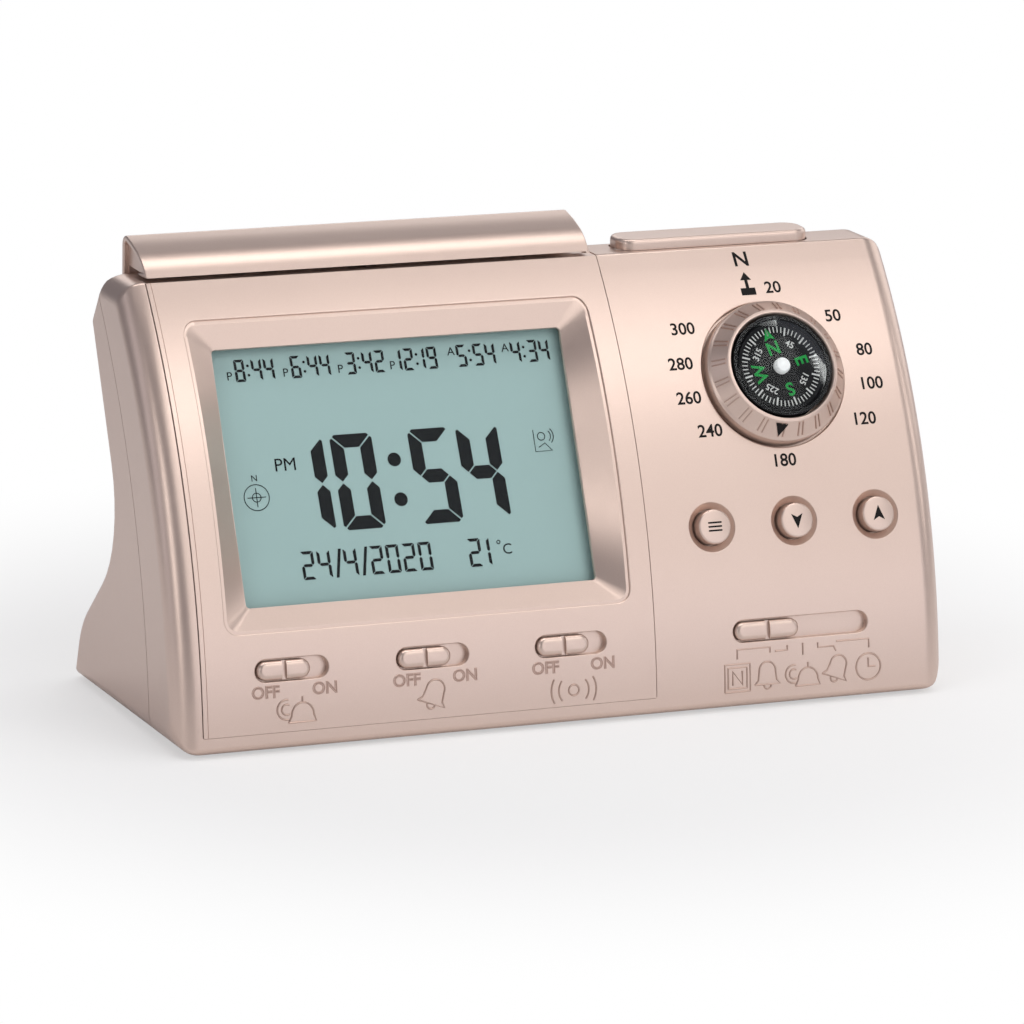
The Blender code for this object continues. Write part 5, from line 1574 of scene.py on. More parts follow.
@dataclass(frozen=True)
class DisplayPanel:
    """The panel let into the left of the front, with the bezel and three slots."""

    left: float = -0.077
    right: float = 0.0184
    bottom: float = 0.0035
    top: float = 0.086
    thickness: float = 0.0022
    end_edge: float = 0.0001
    bezel_width: float = 0.0853
    bezel_across: float = -0.02895
    bezel_bottom: float = 0.0228
    bezel_top: float = 0.0793
    bezel_round: float = 0.0028
    bezel_edge: float = 0.0002
    step: float = 0.0004
    ledge: float = 0.0007
    funnel_over: float = 0.002
    window_corner: float = 0.0008
    window_edge: Spots = ((0.00022, 0.0), (0.00006, -0.00006), (0.0, -0.00022), (0.0, -0.0028))
    collar: float = 0.0068
    collar_back: float = 0.0023
    collar_inset: float = 0.001
    pocket: float = 0.0025
    pocket_levels: Spot = (-0.006, -0.0008)
    slot_backing: tuple[Corner, Corner] = ((-0.0094, -0.004, -0.0034), (0.0094, 0.004, -0.0011))
    groove_inset: float = 0.00095
    groove: Spots = ((-0.0001, 0.0001), (0.0, -0.00012), (0.0001, 0.0001))
    groove_run: Spot = (0.002, 0.0845)
    rows: int = 88
    side_steps: int = 44
    crease: float = 20.0

    def bezel_loop(self, drawn: float, out: float) -> Loop:
        """Bezel outline laid on the front.

        Args:
            drawn: How far it is drawn in.
            out: How far it is lifted out of the front.

        Returns:
            The outline's points.
        """
        rise = self.bezel_top - self.bezel_bottom
        outline = rounded_rect(self.bezel_width - 2 * drawn, rise - 2 * drawn,
                               self.bezel_round - drawn, 8, self.side_steps)
        middle = (self.bezel_top + self.bezel_bottom) / 2
        return [FRONT.spot(point.x + self.bezel_across, FRONT.lean(point.y + middle), out)
                for point in outline]

    def window_loop(self, wider: float, level: float) -> Loop:
        """Window outline in the window's frame.

        Args:
            wider: How far it is widened.
            level: Its level out of the window.

        Returns:
            The outline's points.
        """
        outline = rounded_rect(WINDOW.width + 2 * wider, WINDOW.rise + 2 * wider,
                               self.window_corner + wider, 8, self.side_steps)
        frame = WINDOW.frame()
        return [frame @ Vector((point.x, point.y, level)) for point in outline]

    def collar_solid(self) -> Thing:
        """Build the thick part behind the bezel that carries the window.

        Returns:
            The solid.
        """
        frame = WINDOW.frame()
        reach = WINDOW.rise / 2 + self.collar
        low, high = (frame @ Vector((0.0, side * reach, -self.collar_back)) for side in (-1, 1))
        outline = FRONT.line(self.collar_inset, self.bezel_bottom - self.collar_inset,
                             self.bezel_top + self.collar_inset, 40) + [high.yz, low.yz]
        half = WINDOW.width / 2 + self.collar
        return prism("bezel_back", outline, WINDOW.across - half, WINDOW.across + half)

    def funnel(self) -> Thing:
        """Build the cutter of the bezel: its rim, the step, the slope and the window's edge.

        Returns:
            The cutter.
        """
        soft = self.bezel_edge
        loops = [self.bezel_loop(-soft, self.funnel_over), self.bezel_loop(-soft, HAIR)]
        for turn in (math.pi / 6 * step for step in range(1, 4)):
            loops.append(self.bezel_loop(-soft + soft * math.sin(turn),
                                         -soft * (1 - math.cos(turn))))
        loops += [self.bezel_loop(0.0, -self.step), self.bezel_loop(self.ledge, -self.step)]
        loops += [self.window_loop(wider, level) for wider, level in self.window_edge]
        return Shape().loft(loops, strips=True).solid("bezel_funnel")

    def edge_line(self) -> Thing:
        """Build the cutter of the fine groove beside the panel's left edge.

        Returns:
            The cutter.
        """
        start, rise = self.groove_run
        loops = []
        for lean in (FRONT.lean(start + rise * step / 60) for step in range(61)):
            loops.append([FRONT.spot(self.left + self.groove_inset + aside, lean, out)
                          for aside, out in self.groove])
        return Shape().loft(loops).solid("edge_line")

    def build(self) -> None:
        """Build the panel and dress it."""
        front = FRONT.line(0.0, self.bottom, self.top, self.rows)
        back = FRONT.line(self.thickness, self.bottom, self.top, self.rows)
        panel = prism("panel_shell", front + list(reversed(back)), self.left, self.right,
                      self.end_edge)
        carve(panel, self.collar_solid(), operation="UNION")
        carve(panel, self.funnel())
        wide, tall = WINDOW.width / 2 + self.pocket, WINDOW.rise / 2 + self.pocket
        low, high = self.pocket_levels
        carve(panel, box("lens_pocket", (-wide, -tall, low), (wide, tall, high), WINDOW.frame()))
        for slot in SHORT_SLOTS:
            carve(panel, box("slot_backing", *self.slot_backing,
                             FRONT.frame(slot.across, slot.height)), operation="UNION")
            carve(panel, slot.tool())
        carve(panel, self.edge_line())
        settle(panel, PAINT, Body.CASE, ("display_panel",), Skin.PAINT,
               crease=self.crease)


# The display's marks


SEGMENTS = {"0": "abcdef", "1": "bc", "2": "abged", "3": "abgcd", "4": "fgbc", "5": "afgcd",
            "6": "afgedc", "7": "abc", "8": "abcdefg", "9": "abcdfg"}


@dataclass(frozen=True)
class Digits:
    """Seven-segment figures drawn as pointed bars.

    The slant is the lean to the right for each unit of height, slim is the share of a figure's
    empty width that a one gives up, and what follows are shares of the bar, the gap, the height,
    the width and the pitch.
    """

    width: float
    rise: float
    bar: float
    gap: float
    slant: float = -0.03
    slim: float = 0.0
    soft: float = 0.3
    tip: float = 1.4
    dot: float = 0.52
    dot_heights: Spot = (0.28, 0.7)
    slash_lean: float = 0.45
    slash_pitch: float = 0.62

    def bars(self, figure: str) -> list[Stroke]:
        """Outlines of one figure's bars.

        Args:
            figure: The figure, 0 to 9.

        Returns:
            The outlines, from the figure's lower left corner.
        """
        wide, tall, thick, gap = self.width, self.rise, self.bar, self.gap / 2
        half, mid, soft = thick / 2, tall / 2, self.soft * thick
        upper = [(soft, tall), (wide - soft, tall), (wide - soft / 2, tall - soft / 2),
                 (wide - thick, tall - thick), (thick, tall - thick), (soft / 2, tall - soft / 2)]
        upper = [(gap + x if x < wide / 2 else x - gap, y) for x, y in upper]
        middle = [(half + gap, mid), (thick + gap, mid + half), (wide - thick - gap, mid + half),
                  (wide - half - gap, mid), (wide - thick - gap, mid - half),
                  (thick + gap, mid - half)]
        side = [(0.0, tall - soft - gap), (soft / 2, tall - soft / 2 - gap * self.tip),
                (thick, tall - thick - gap), (thick, mid + half + gap),
                (half, mid + gap), (0.0, mid + half + gap)]
        right = [(wide - x, y) for x, y in side]
        parts = {"a": upper, "d": [(x, tall - y) for x, y in upper], "g": middle,
                 "f": side, "b": right, "e": [(x, tall - y) for x, y in side],
                 "c": [(x, tall - y) for x, y in right]}
        return [parts[name] for name in SEGMENTS[figure]]

    def outlines(self, sign: str, pitch: float) -> tuple[list[Stroke], float]:
        """Outlines of a figure, a colon or a stroke.

        Args:
            sign: The figure, ":" or "/".
            pitch: Step from figure to figure.

        Returns:
            The outlines and the step to the next sign.
        """
        if sign == ":":
            radius = self.bar * self.dot
            turns = [math.pi / 8 * index for index in range(16)]
            return [[(radius + radius * math.cos(turn), self.rise * share + radius * math.sin(turn))
                     for turn in turns] for share in self.dot_heights], (
                         2 * radius + pitch - self.width)
        if sign == "/":
            lean = self.width * self.slash_lean
            return [[(0.0, 0.0), (self.bar, 0.0), (lean + self.bar, self.rise),
                     (lean, self.rise)]], pitch * self.slash_pitch
        spare = self.slim * (self.width - self.bar) if sign == "1" else 0.0
        return [[(x - spare, y) for x, y in bar] for bar in self.bars(sign)], pitch - spare

    def draw(self, shape: Shape, words: str, across: float, up: float, pitch: float,
             film: float) -> None:
        """Lay figures, colons and strokes on a shape.

        Args:
            shape: The mesh that takes them.
            words: Figures with ":" and "/".
            across: Left edge of the first figure.
            up: Foot of the figures.
            pitch: Step from figure to figure.
            film: Height of the ink film.
        """
        for sign in words:
            outlines, step = self.outlines(sign, pitch)
            for outline in outlines:
                shape.plate([Vector((across + x + self.slant * y, up + y)) for x, y in outline],
                            0.0, film)
            across += step


DATE_DIGITS = Digits(0.0027, 0.0057, 0.0006, 0.00015, slim=0.7)


@dataclass(frozen=True)
class DisplayMarks:
    """Everything that the display shows, as a thin film on the glass.

    A reading is its digits, foot and pitch and the words with their left edges. A letter is its
    words, size and middle, and an arc is its middle, radius, first and last angle and spans.
    """

    level: float = -0.00258
    film: float = 0.00003
    stroke: float = 0.00016
    stroke_level: float = 0.00002
    readings: tuple[tuple[Digits, float, float, tuple[tuple[str, float], ...]], ...] = (
        (Digits(0.0088, 0.0192, 0.0027, 0.00036), -0.0115, 0.0102,
         (("0", -0.0135), (":", -0.0021), ("54", 0.0029), ("1", -0.0239))),
        (Digits(0.0021, 0.0045, 0.00053, 0.00013, slim=0.7), 0.0196, 0.00255,
         (("8:44", -0.0316), ("6:44", -0.0199), ("3:42", -0.0084), ("12:19", 0.0024),
          ("5:54", 0.0152), ("4:34", 0.0268))),
        (DATE_DIGITS, -0.0207, 0.0034, (("24/4/2020", -0.0233),)),
        (DATE_DIGITS, -0.0208, 0.0034, (("21", 0.0118),)))
    letters: tuple[tuple[str, float, float, float], ...] = (
        ("PM", 0.0037, -0.0239, 0.0024), ("P", 0.0024, -0.0329, 0.0208),
        ("P", 0.0024, -0.0212, 0.0208), ("P", 0.0024, -0.0097, 0.0208),
        ("P", 0.0024, 0.0013, 0.0208), ("A", 0.0024, 0.014, 0.0228), ("A", 0.0024, 0.0256, 0.0228),
        ("C", 0.003, 0.02, -0.0178), ("N", 0.0018, -0.0307, 0.0002))
    arcs: tuple[tuple[Spot, float, float, float, int], ...] = (
        ((0.0183, -0.0162), 0.00035, 0, 360, 12), ((-0.0307, -0.0036), 0.0026, 0, 360, 30),
        ((-0.0307, -0.0036), 0.0009, 0, 360, 16), ((0.0306, 0.0044), 0.0008, 0, 360, 14),
        ((0.0312, 0.0044), 0.0014, -45, 45, 8), ((0.0312, 0.0044), 0.002, -45, 45, 8))
    lines: tuple[Spots, ...] = (
        ((-0.0307, -0.0055), (-0.0307, -0.0017)), ((-0.0326, -0.0036), (-0.0288, -0.0036)),
        ((0.029, 0.0058), (0.029, 0.0014), (0.0326, 0.0014), (0.0312, 0.003),
         (0.0298, 0.0022)))

    def build(self) -> None:
        """Draw the readings on the glass."""
        shape = Shape()
        for digits, up, pitch, row in self.readings:
            for words, across in row:
                digits.draw(shape, words, across, up, pitch, self.film)
        for words, size, across, up in self.letters:
            shape.mesh_of(text_mesh(words, size, self.film / 2),
                          Matrix.Translation((across, up, self.film / 2)))
        lines = [arc_line(*arc) for arc in self.arcs] + list(self.lines)
        shape.mesh_of(stroke_mesh(lines, self.stroke),
                      Matrix.Translation((0.0, 0.0, self.stroke_level)))
        frame = WINDOW.frame() @ Matrix.Translation((0.0, 0.0, self.level))
        settle(shape.at(frame).solid("display_marks", weld=False), DISPLAY_INK,
               Body.CASE, slot=Skin.BLACK, even=False)


# Knobs, buttons and keys


@dataclass(frozen=True)
class SlideKnobs:
    """The knobs of the four slide switches."""

    rise: float = 0.0038
    proud: float = 0.0008
    sunk: float = 0.0013
    edge: float = 0.0011
    groove_width: float = 0.0009
    groove_depth: float = 0.0008
    groove_reach: float = 0.003

    def build(self) -> None:
        """Build the knobs at the left ends of their slots."""
        low = (-self.groove_width / 2, -self.groove_reach, self.proud - self.groove_depth)
        high = (self.groove_width / 2, self.groove_reach, self.groove_reach)
        for slot in (*SHORT_SLOTS, MODE_SLOT):
            frame = slot.knob_frame()
            knob = Shape().pillow(
                lambda inset: capsule(slot.knob_length - 2 * inset, self.rise - 2 * inset, 16),
                -self.sunk, self.proud, self.edge).at(frame).solid(slot.body.value + "_cap")
            carve(knob, box("groove", low, high, frame))
            settle(knob, PAINT, slot.body, (slot.body.value,), Skin.PAINT)


@dataclass(frozen=True)
class PushButtons:
    """The three round push buttons and what is printed on them."""

    places: tuple[float, ...] = (0.0325, 0.0505, 0.0685)
    height: float = 0.0358
    radius: float = 0.0035
    proud: float = 0.0016
    edge: float = 0.0004
    flange: Spots = ((0.0035, -0.0026), (0.0046, -0.0027), (0.0046, -0.0034), (0.0, -0.0034))
    film: float = 0.00003
    arrow: Spots = ((0.0, 0.0017), (0.00125, -0.0013), (0.0, -0.0006), (-0.00125, -0.0013))
    line: Spot = (0.003, 0.00035)
    line_pitch: float = 0.0008

    def marks(self) -> list[list[Loop]]:
        """Outlines of the marks.

        Returns:
            The three lines, the arrowhead down and the arrowhead up.
        """
        arrow = [Vector(spot) for spot in self.arrow]
        lines = [[point + Vector((0.0, up)) for point in capsule(*self.line)]
                 for up in (-self.line_pitch, 0.0, self.line_pitch)]
        return [lines, [[Vector((point.x, -point.y)) for point in reversed(arrow)]], [arrow]]

    def build(self) -> None:
        """Build the caps and their marks."""
        profile = [(0.0, self.proud)]
        profile += [(self.radius - drawn, self.proud - below)
                    for drawn, below in reversed(edge_round(self.edge))]
        profile += self.flange
        bodies = (Body.SET_BUTTON, Body.DOWN_BUTTON, Body.UP_BUTTON)
        for body, across, outlines in zip(bodies, self.places, self.marks()):
            frame = FRONT.frame(across, self.height)
            cap = Shape().turned(profile, 72).at(frame).solid(body.value + "_cap")
            settle(cap, PAINT, body, (body.value,), Skin.PAINT)
            film = Shape()
            for outline in outlines:
                film.plate(outline, self.proud, self.proud + self.film)
            settle(film.at(frame).solid(body.value + "_mark"), INK, body,
                   slot=Skin.BLACK, even=False)


@dataclass(frozen=True)
class TopKeys:
    """The long bar key and the oblong pad key."""

    bar_left: float = -0.0768
    bar_right: float = 0.0171
    bar_section: Spots = (
        (0.0373, 0.0869), (0.0402, 0.0901), (0.0461, 0.0921), (0.0522, 0.0934), (0.0522, 0.0838))
    bar_rounds: tuple[float, ...] = (0.0, 0.0115, 0.032, 0.0022, 0.0)
    underside: tuple[Corner, Corner] = ((-0.09, -0.02, 0.07), (0.09, 0.0506, 0.0868))
    rim: float = 0.0011
    sunk: float = 0.001
    edge: float = 0.0003
    pad_left: float = 0.0245
    pad_right: float = 0.0665
    pad_front: float = 0.0382
    pad_rear: float = 0.047
    pad_foot: float = 0.0862
    pad_top: float = 0.0884
    pad_corner: float = 0.0035
    pad_edge: float = 0.0009

    def bar_outline(self, inset: float) -> Loop:
        """Side outline of the bar, moved inwards.

        Args:
            inset: Distance from the outside.

        Returns:
            The outline's points.
        """
        radii = [radius - inset if radius else 0.0 for radius in self.bar_rounds]
        return rounded_outline(list(zip(inset_outline(self.bar_section, inset), radii)), 12)

    def pad_outline(self, inset: float) -> Loop:
        """Outline of the pad from above, moved inwards.

        Args:
            inset: Distance from the outside.

        Returns:
            The outline's points.
        """
        middle = Vector((self.pad_left + self.pad_right, self.pad_front + self.pad_rear)) / 2
        size = Vector((self.pad_right - self.pad_left, self.pad_rear - self.pad_front))
        return [point + middle for point in rounded_rect(
            size.x - 2 * inset, size.y - 2 * inset, self.pad_corner - inset, 10)]

    def build(self) -> None:
        """Build both keys."""
        arcs = edge_round(self.edge, 3)
        steps = [(self.rim, self.sunk), (self.rim, self.edge)]
        steps += [(self.rim - drawn, below) for drawn, below in arcs] + arcs[::-1]
        left, right = ([side_on(self.bar_outline(drawn), place + sign * below)
                        for drawn, below in steps]
                       for place, sign in ((self.bar_left, 1), (self.bar_right, -1)))
        bar = Shape().loft(left + right[::-1]).solid("bar_key")
        carve(bar, box("bar_underside", *self.underside))
        settle(bar, PAINT, Body.BAR, ("snooze_bar",), Skin.PAINT)
        pad = Shape().pillow(self.pad_outline, self.pad_foot, self.pad_top, self.pad_edge)
        settle(pad.solid("pad_key"), PAINT, Body.PAD, ("light_key",), Skin.PAINT)


# The compass


@dataclass(frozen=True)
class Compass:
    """The compass and the ring that turns round it."""

    across: float = 0.0507
    height: float = 0.0633
    ring: Spots = (
        (0.0109, 0.0046), (0.0111, 0.00505), (0.01125, 0.0052), (0.0114, 0.0052),
        (0.01185, 0.00505), (0.01205, 0.0048), (0.0142, 0.00215), (0.01445, 0.0019),
        (0.01475, 0.0017), (0.0149, 0.0014), (0.0149, -0.0012), (0.0124, -0.0012),
        (0.0124, -0.0038), (0.0109, -0.0038))
    cone: tuple[Spot, Spot] = ((0.01205, 0.0048), (0.0142, 0.00215))
    ridge_pairs: int = 20
    ridge_spread: float = 0.035
    ridge_inset: float = 0.0001
    ridge_rise: float = 0.0002
    ridge_root: float = 0.0001
    ridge_halves: Spot = (0.00016, 0.0001)
    pointer: float = math.radians(191.0)
    pointer_insets: Spot = (0.0003, 0.0002)
    pointer_half: float = 0.00125
    pointer_levels: Spot = (-0.0001, 0.00024)
    cup: Spots = (
        (0.0, 0.002), (0.0097, 0.002), (0.0097, 0.0047), (0.00975, 0.0048), (0.01045, 0.0048),
        (0.0105, 0.0047), (0.0105, -0.0063), (0.0178, -0.0063), (0.0178, -0.0078), (0.0, -0.0078))
    dome_radius: float = 0.0105
    dome_rise: float = 0.0018
    dome_top: float = 0.0073
    dome_foot: float = 0.0051
    dome_wall: float = 0.0008
    dome_inner: float = 0.924
    card_top: float = 0.0042
    reading: float = math.radians(13.0)
    disc: Spots = (
        (0.0, 0.0048), (0.0016, 0.0048), (0.0016, 0.0042), (0.0091, 0.0042), (0.0092, 0.0041),
        (0.0092, 0.0036), (0.0, 0.0036))
    hub: Spots = (
        (0.0, 0.006), (0.0008, 0.00594), (0.00135, 0.0057), (0.0016, 0.0053), (0.00165, 0.0048),
        (0.00165, 0.0042), (0.0, 0.0042))
    film: float = 0.00003
    tick_reach: float = 0.0084
    long_tick: Spot = (0.0067, 0.00018)
    short_tick: Spot = (0.0072, 0.00011)
    numbers: tuple[int, ...] = (45, 135, 225, 315)
    number_reach: float = 0.0053
    number_type: Spot = (0.0019, 0.015)
    letters: tuple[tuple[str, int, float], ...] = (
        ("N", 0, 0.0039), ("E", -90, 0.0047), ("S", 180, 0.0048), ("W", 90, 0.0047))
    letter_type: Spot = (0.0038, 0.022)
    arrow: Spots = ((0.0, 0.0085), (-0.0012, 0.0058), (0.0, 0.0063), (0.0012, 0.0058))

    def frame(self) -> Matrix:
        """Frame in the middle of the dial, z out of the face."""
        return FRONT.frame(self.across, self.height)

    def turned(self, name: str, profile: Sequence[Spot], steps: int = 96,
               closed: bool = False) -> Thing:
        """Solid turned from a profile about the dial's axis."""
        return Shape().turned(profile, steps, closed).at(self.frame()).solid(name)

    def build(self) -> None:
        """Build the ring, the cup, the card, its marks and the dome."""
        settle(self.turned("turning_ring", self.ring, 144, closed=True), PAINT,
               Body.RING, ("direction_ring",), Skin.PAINT)
        self.ring_marks()
        settle(self.turned("compass_cup", self.cup), BLACK, Body.CASE,
               ("compass_housing",), Skin.BLACK)
        self.card()
        settle(self.turned("compass_dome", self.dome_profile()), DOME_CLEAR, Body.CASE,
               ("compass_lens",), Skin.CLEAR, even=False)

    def dome_profile(self) -> list[Spot]:
        """Half section of the dome.

        Returns:
            Its outside, its foot and its inside, as (radius, level) points.
        """
        ball = (self.dome_radius ** 2 + self.dome_rise ** 2) / (2 * self.dome_rise)
        turns = [math.asin(self.dome_radius / ball) * step / 12 for step in range(13)]
        outer = [(ball * math.sin(turn), self.dome_top - ball * (1 - math.cos(turn)))
                 for turn in turns]
        inner = [(radius * self.dome_inner, level - self.dome_wall)
                 for radius, level in reversed(outer)]
        foot = [(self.dome_radius, self.dome_foot), (inner[0][0], self.dome_foot)]
        return outer + foot + inner

    def ring_marks(self) -> None:
        """Lay paired ridges and the pointer on the ring's cone; the ridges take the darker paint
        that is painted shade.
        """
        low, high = (Vector(spot) for spot in self.cone)
        slope = (high - low).normalized()
        lift = Vector((-slope.y, slope.x))
        inset, clear = slope * self.ridge_inset, lift * HAIR
        ends = (low + inset + clear, high - inset + clear)
        foot_half, top_half = self.ridge_halves
        ridges = Shape()
        for index in range(self.ridge_pairs):
            for aside in (-self.ridge_spread, self.ridge_spread):
                turn = Matrix.Rotation(2 * math.pi * (index + 0.5) / self.ridge_pairs + aside, 4,
                                       "Z")
                loops = []
                for end in ends:
                    foot, top = end - Vector((0.0, self.ridge_root)), end + lift * self.ridge_rise
                    loops.append([turn @ Vector((spot.x, half, spot.y)) for spot, half in (
                        (foot, -foot_half), (top, -top_half), (top, top_half), (foot, foot_half))])
                ridges.loft(loops)
        # The ridges take the darker paint, painted shade along their relief.
        settle(ridges.at(self.frame()).solid("ring_ridges"), SHADED_RELIEF_PAINT, Body.RING,
               slot=Skin.PAINT, even=False)
        turn = Matrix.Rotation(math.pi / 2 - self.pointer, 4, "Z")
        base, tip = low + slope * self.pointer_insets[0], high - slope * self.pointer_insets[1]
        loops = [[turn @ Vector(((end + lift * rise).x, aside, (end + lift * rise).y))
                  for end, aside in ((base, self.pointer_half), (tip, 0.0),
                                     (base, -self.pointer_half))] for rise in self.pointer_levels]
        settle(Shape().loft(loops).at(self.frame()).solid("ring_pointer"), INK,
               Body.RING, slot=Skin.BLACK, even=False)

    def card(self) -> None:
        """Build the card, its hub, ticks, letters and arrow."""
        settle(self.turned("dial_card", self.disc), BLACK, Body.CARD,
               ("compass_card",), Skin.BLACK)
        # The hub takes the white enamel with the painted glow.
        settle(self.turned("card_hub", self.hub, 48), HUB_WITH_PAINTED_GLOW, Body.CARD, slot=Skin.IVORY)
        ticks, letters = Shape(), Shape()
        levels = (self.card_top, self.card_top + self.film)
        for index in range(60):
            turn = Matrix.Rotation(2 * math.pi * index / 60 + self.reading, 4, "Z")
            inner, half = self.short_tick if index % 5 else self.long_tick
            ticks.plate([turn @ Vector((x, y, 0.0)) for x, y in (
                (-half, inner), (half, inner), (half, self.tick_reach),
                (-half, self.tick_reach))], *levels)
        marks = [(ticks, str(number), -number, self.number_reach, *self.number_type)
                 for number in self.numbers]
        marks += [(letters, *letter, *self.letter_type) for letter in self.letters]
        for shape, words, degrees, reach, size, weight in marks:
            turn = Matrix.Rotation(math.radians(degrees) + self.reading, 4, "Z")
            place = turn @ Matrix.Translation((0.0, reach, self.card_top + self.film / 2))
            shape.mesh_of(text_mesh(words, size, self.film / 2, weight), place)
        turn = Matrix.Rotation(self.reading, 4, "Z")
        letters.plate([turn @ Vector((x, y, 0.0)) for x, y in self.arrow], *levels)
        for shape, name, finish in ((ticks, "card_ticks", WHITE_INK),
                                    (letters, "card_letters", GREEN_INK)):
            settle(shape.at(self.frame()).solid(name, weld=False), finish, Body.CARD,
                   slot=Skin.IVORY, even=False)


# The face's marks


@dataclass(frozen=True)
class FaceMarks:
    """Raised and printed marks on the front."""

    stroke: float = 0.0004
    middle: float = 0.0078
    bead: float = 0.00014
    type_size: float = 0.0033
    type_height: float = 0.01135
    sides: tuple[tuple[str, float], ...] = (("OFF", -0.0056), ("ON", 0.0067))
    ring: Spot = (0.0006, 0.0066)
    ring_radius: float = 0.0011
    ring_arcs: Spots = ((0.0032, 38), (0.0048, 30))
    dial: Spot = (0.0649, 0.006)
    dial_radius: float = 0.0027
    domes: tuple[Corner, ...] = ((-0.0578, 0.0078, 0.0066), (0.0503, 0.0058, 0.0062))
    bells: tuple[tuple[float, ...], ...] = (
        (-0.029, 0.0084, 0.006, -0.35), (0.0426, 0.0062, 0.0056, 0.0),
        (0.058, 0.0063, 0.0056, -0.35))
    lines: tuple[Spots, ...] = (
        ((0.0333, 0.0032), (0.0388, 0.0032), (0.0388, 0.0088), (0.0333, 0.0088),
         (0.0333, 0.0032)),
        ((0.034, 0.0039), (0.0381, 0.0039), (0.0381, 0.0081), (0.034, 0.0081),
         (0.034, 0.0039)),
        ((0.035, 0.0046), (0.035, 0.0074), (0.0371, 0.0046), (0.0371, 0.0074)),
        ((0.0649, 0.0078), (0.0649, 0.006), (0.0664, 0.006)),
        ((0.0361, 0.0098), (0.0361, 0.0117), (0.0433, 0.0117), (0.0433, 0.0106)),
        ((0.0444, 0.0108), (0.0471, 0.0108), (0.0471, 0.0118)),
        ((0.0505, 0.012), (0.0505, 0.0096)),
        ((0.0538, 0.0118), (0.0538, 0.0108), (0.0573, 0.0108), (0.0578, 0.0098)),
        ((0.0579, 0.0117), (0.0651, 0.0117), (0.0651, 0.0099)))
    film: float = 0.00002
    arrow_place: Spot = (0.0493, 0.0795)
    arrow_half: Spots = (
        (-0.0012, 0.0008), (-0.00035, 0.0008), (-0.00035, -0.001), (-0.0016, -0.001),
        (-0.0016, -0.0026))
    arrow_tip: Spot = (0.0, 0.0026)
    weight: float = 0.018
    north: tuple[str, float, float, float] = ("N", 0.0046, 0.0494, 0.0837)
    number_size: float = 0.0036
    numbers: tuple[tuple[int, float, float], ...] = (
        (20, 0.0548, 0.0785), (50, 0.0664, 0.0728), (80, 0.0717, 0.0664), (100, 0.0717, 0.0602),
        (120, 0.0688, 0.0538), (180, 0.0499, 0.0472), (240, 0.0348, 0.0536), (260, 0.0314, 0.0598),
        (280, 0.031, 0.066), (300, 0.033, 0.0722))

    def bell(self, across: float, up: float, size: float, tilt: float) -> list[Stroke]:
        """Lines of a plain bell.

        Args:
            across: Its middle across the clock.
            up: Height of its middle.
            size: Its size.
            tilt: Its lean to the left.

        Returns:
            The lines.
        """
        lines = [[(-0.5, -0.35), (-0.36, -0.2), (-0.32, 0.1)] + arc_line((0.0, 0.15), 0.32, 180, 0)
                 + [(0.32, 0.1), (0.36, -0.2), (0.5, -0.35), (-0.5, -0.35)],
                 arc_line((0.0, -0.38), 0.14, 180, 360, 8)]
        turn = Matrix.Rotation(tilt, 2)
        return [[tuple(Vector((across, up)) + turn @ (Vector(point) * size)) for point in line]
                for line in lines]

    def dome(self, across: float, up: float, size: float) -> list[Stroke]:
        """Lines of a dome with sound arcs beside it.

        Args:
            across: Its middle across the clock.
            up: Height of its middle.
            size: Its size.

        Returns:
            The lines.
        """
        roof = arc_line((0.2, -0.2), 0.35, 0, 180, 14, 1.1)
        lines = [[(-0.25, -0.4), (0.62, -0.4), (0.55, -0.2)] + roof + [(-0.25, -0.4)],
                 [(0.2, 0.19), (0.2, 0.36)],
                 arc_line((-0.3, 0.0), 0.16, 60, 300, 10), arc_line((-0.3, 0.0), 0.3, 80, 280, 12)]
        return [[(across + x * size, up + y * size) for x, y in line] for line in lines]

    def strokes(self) -> list[Stroke]:
        """Lines of the small pictures.

        Returns:
            The lines, across and up the clock.
        """
        lines = [list(line) for line in self.lines]
        lines += [line for place in self.domes for line in self.dome(*place)]
        lines += [line for place in self.bells for line in self.bell(*place)]
        lines += [arc_line(self.ring, radius, first - spread, first + spread, 10)
                  for first in (0, 180) for radius, spread in self.ring_arcs]
        return lines + [arc_line(self.ring, self.ring_radius, 0, 360, 16),
                        arc_line(self.dial, self.dial_radius, 0, 360, 30)]

    def raised(self) -> None:
        """Mould the marks that stand up from the face, in the darker paint that is painted shade.
        """
        shape = Shape()
        for slot in SHORT_SLOTS:
            for words, aside in self.sides:
                letters = text_mesh(words, self.type_size, 0.0, outline=self.bead)
                self.lay(shape, Shape().mesh_of(letters), slot.across + aside, self.type_height)
        flat = [[(x, y - self.middle) for x, y in line] for line in self.strokes()]
        self.lay(shape, Shape().mesh_of(stroke_mesh(flat, self.stroke)), 0.0, self.middle)
        # The raised marks take the darker paint, painted shade along their relief.
        settle(shape.solid("raised_marks", weld=False), SHADED_RELIEF_PAINT, Body.CASE,
               slot=Skin.PAINT, even=False)

    def lay(self, shape: Shape, part: Shape, across: float, height: float) -> None:
        """Wrap a flat part on the front and add it to a shape.

        Args:
            shape: The mesh that takes it.
            part: The part, drawn about its own origin.
            across: Place of its origin across the clock.
            height: Height of its origin.
        """
        part.move(FRONT.wrap(across, height))
        data = bpy.data.meshes.new("part")
        part.mesh.to_mesh(data)
        part.mesh.free()
        shape.mesh_of(data)

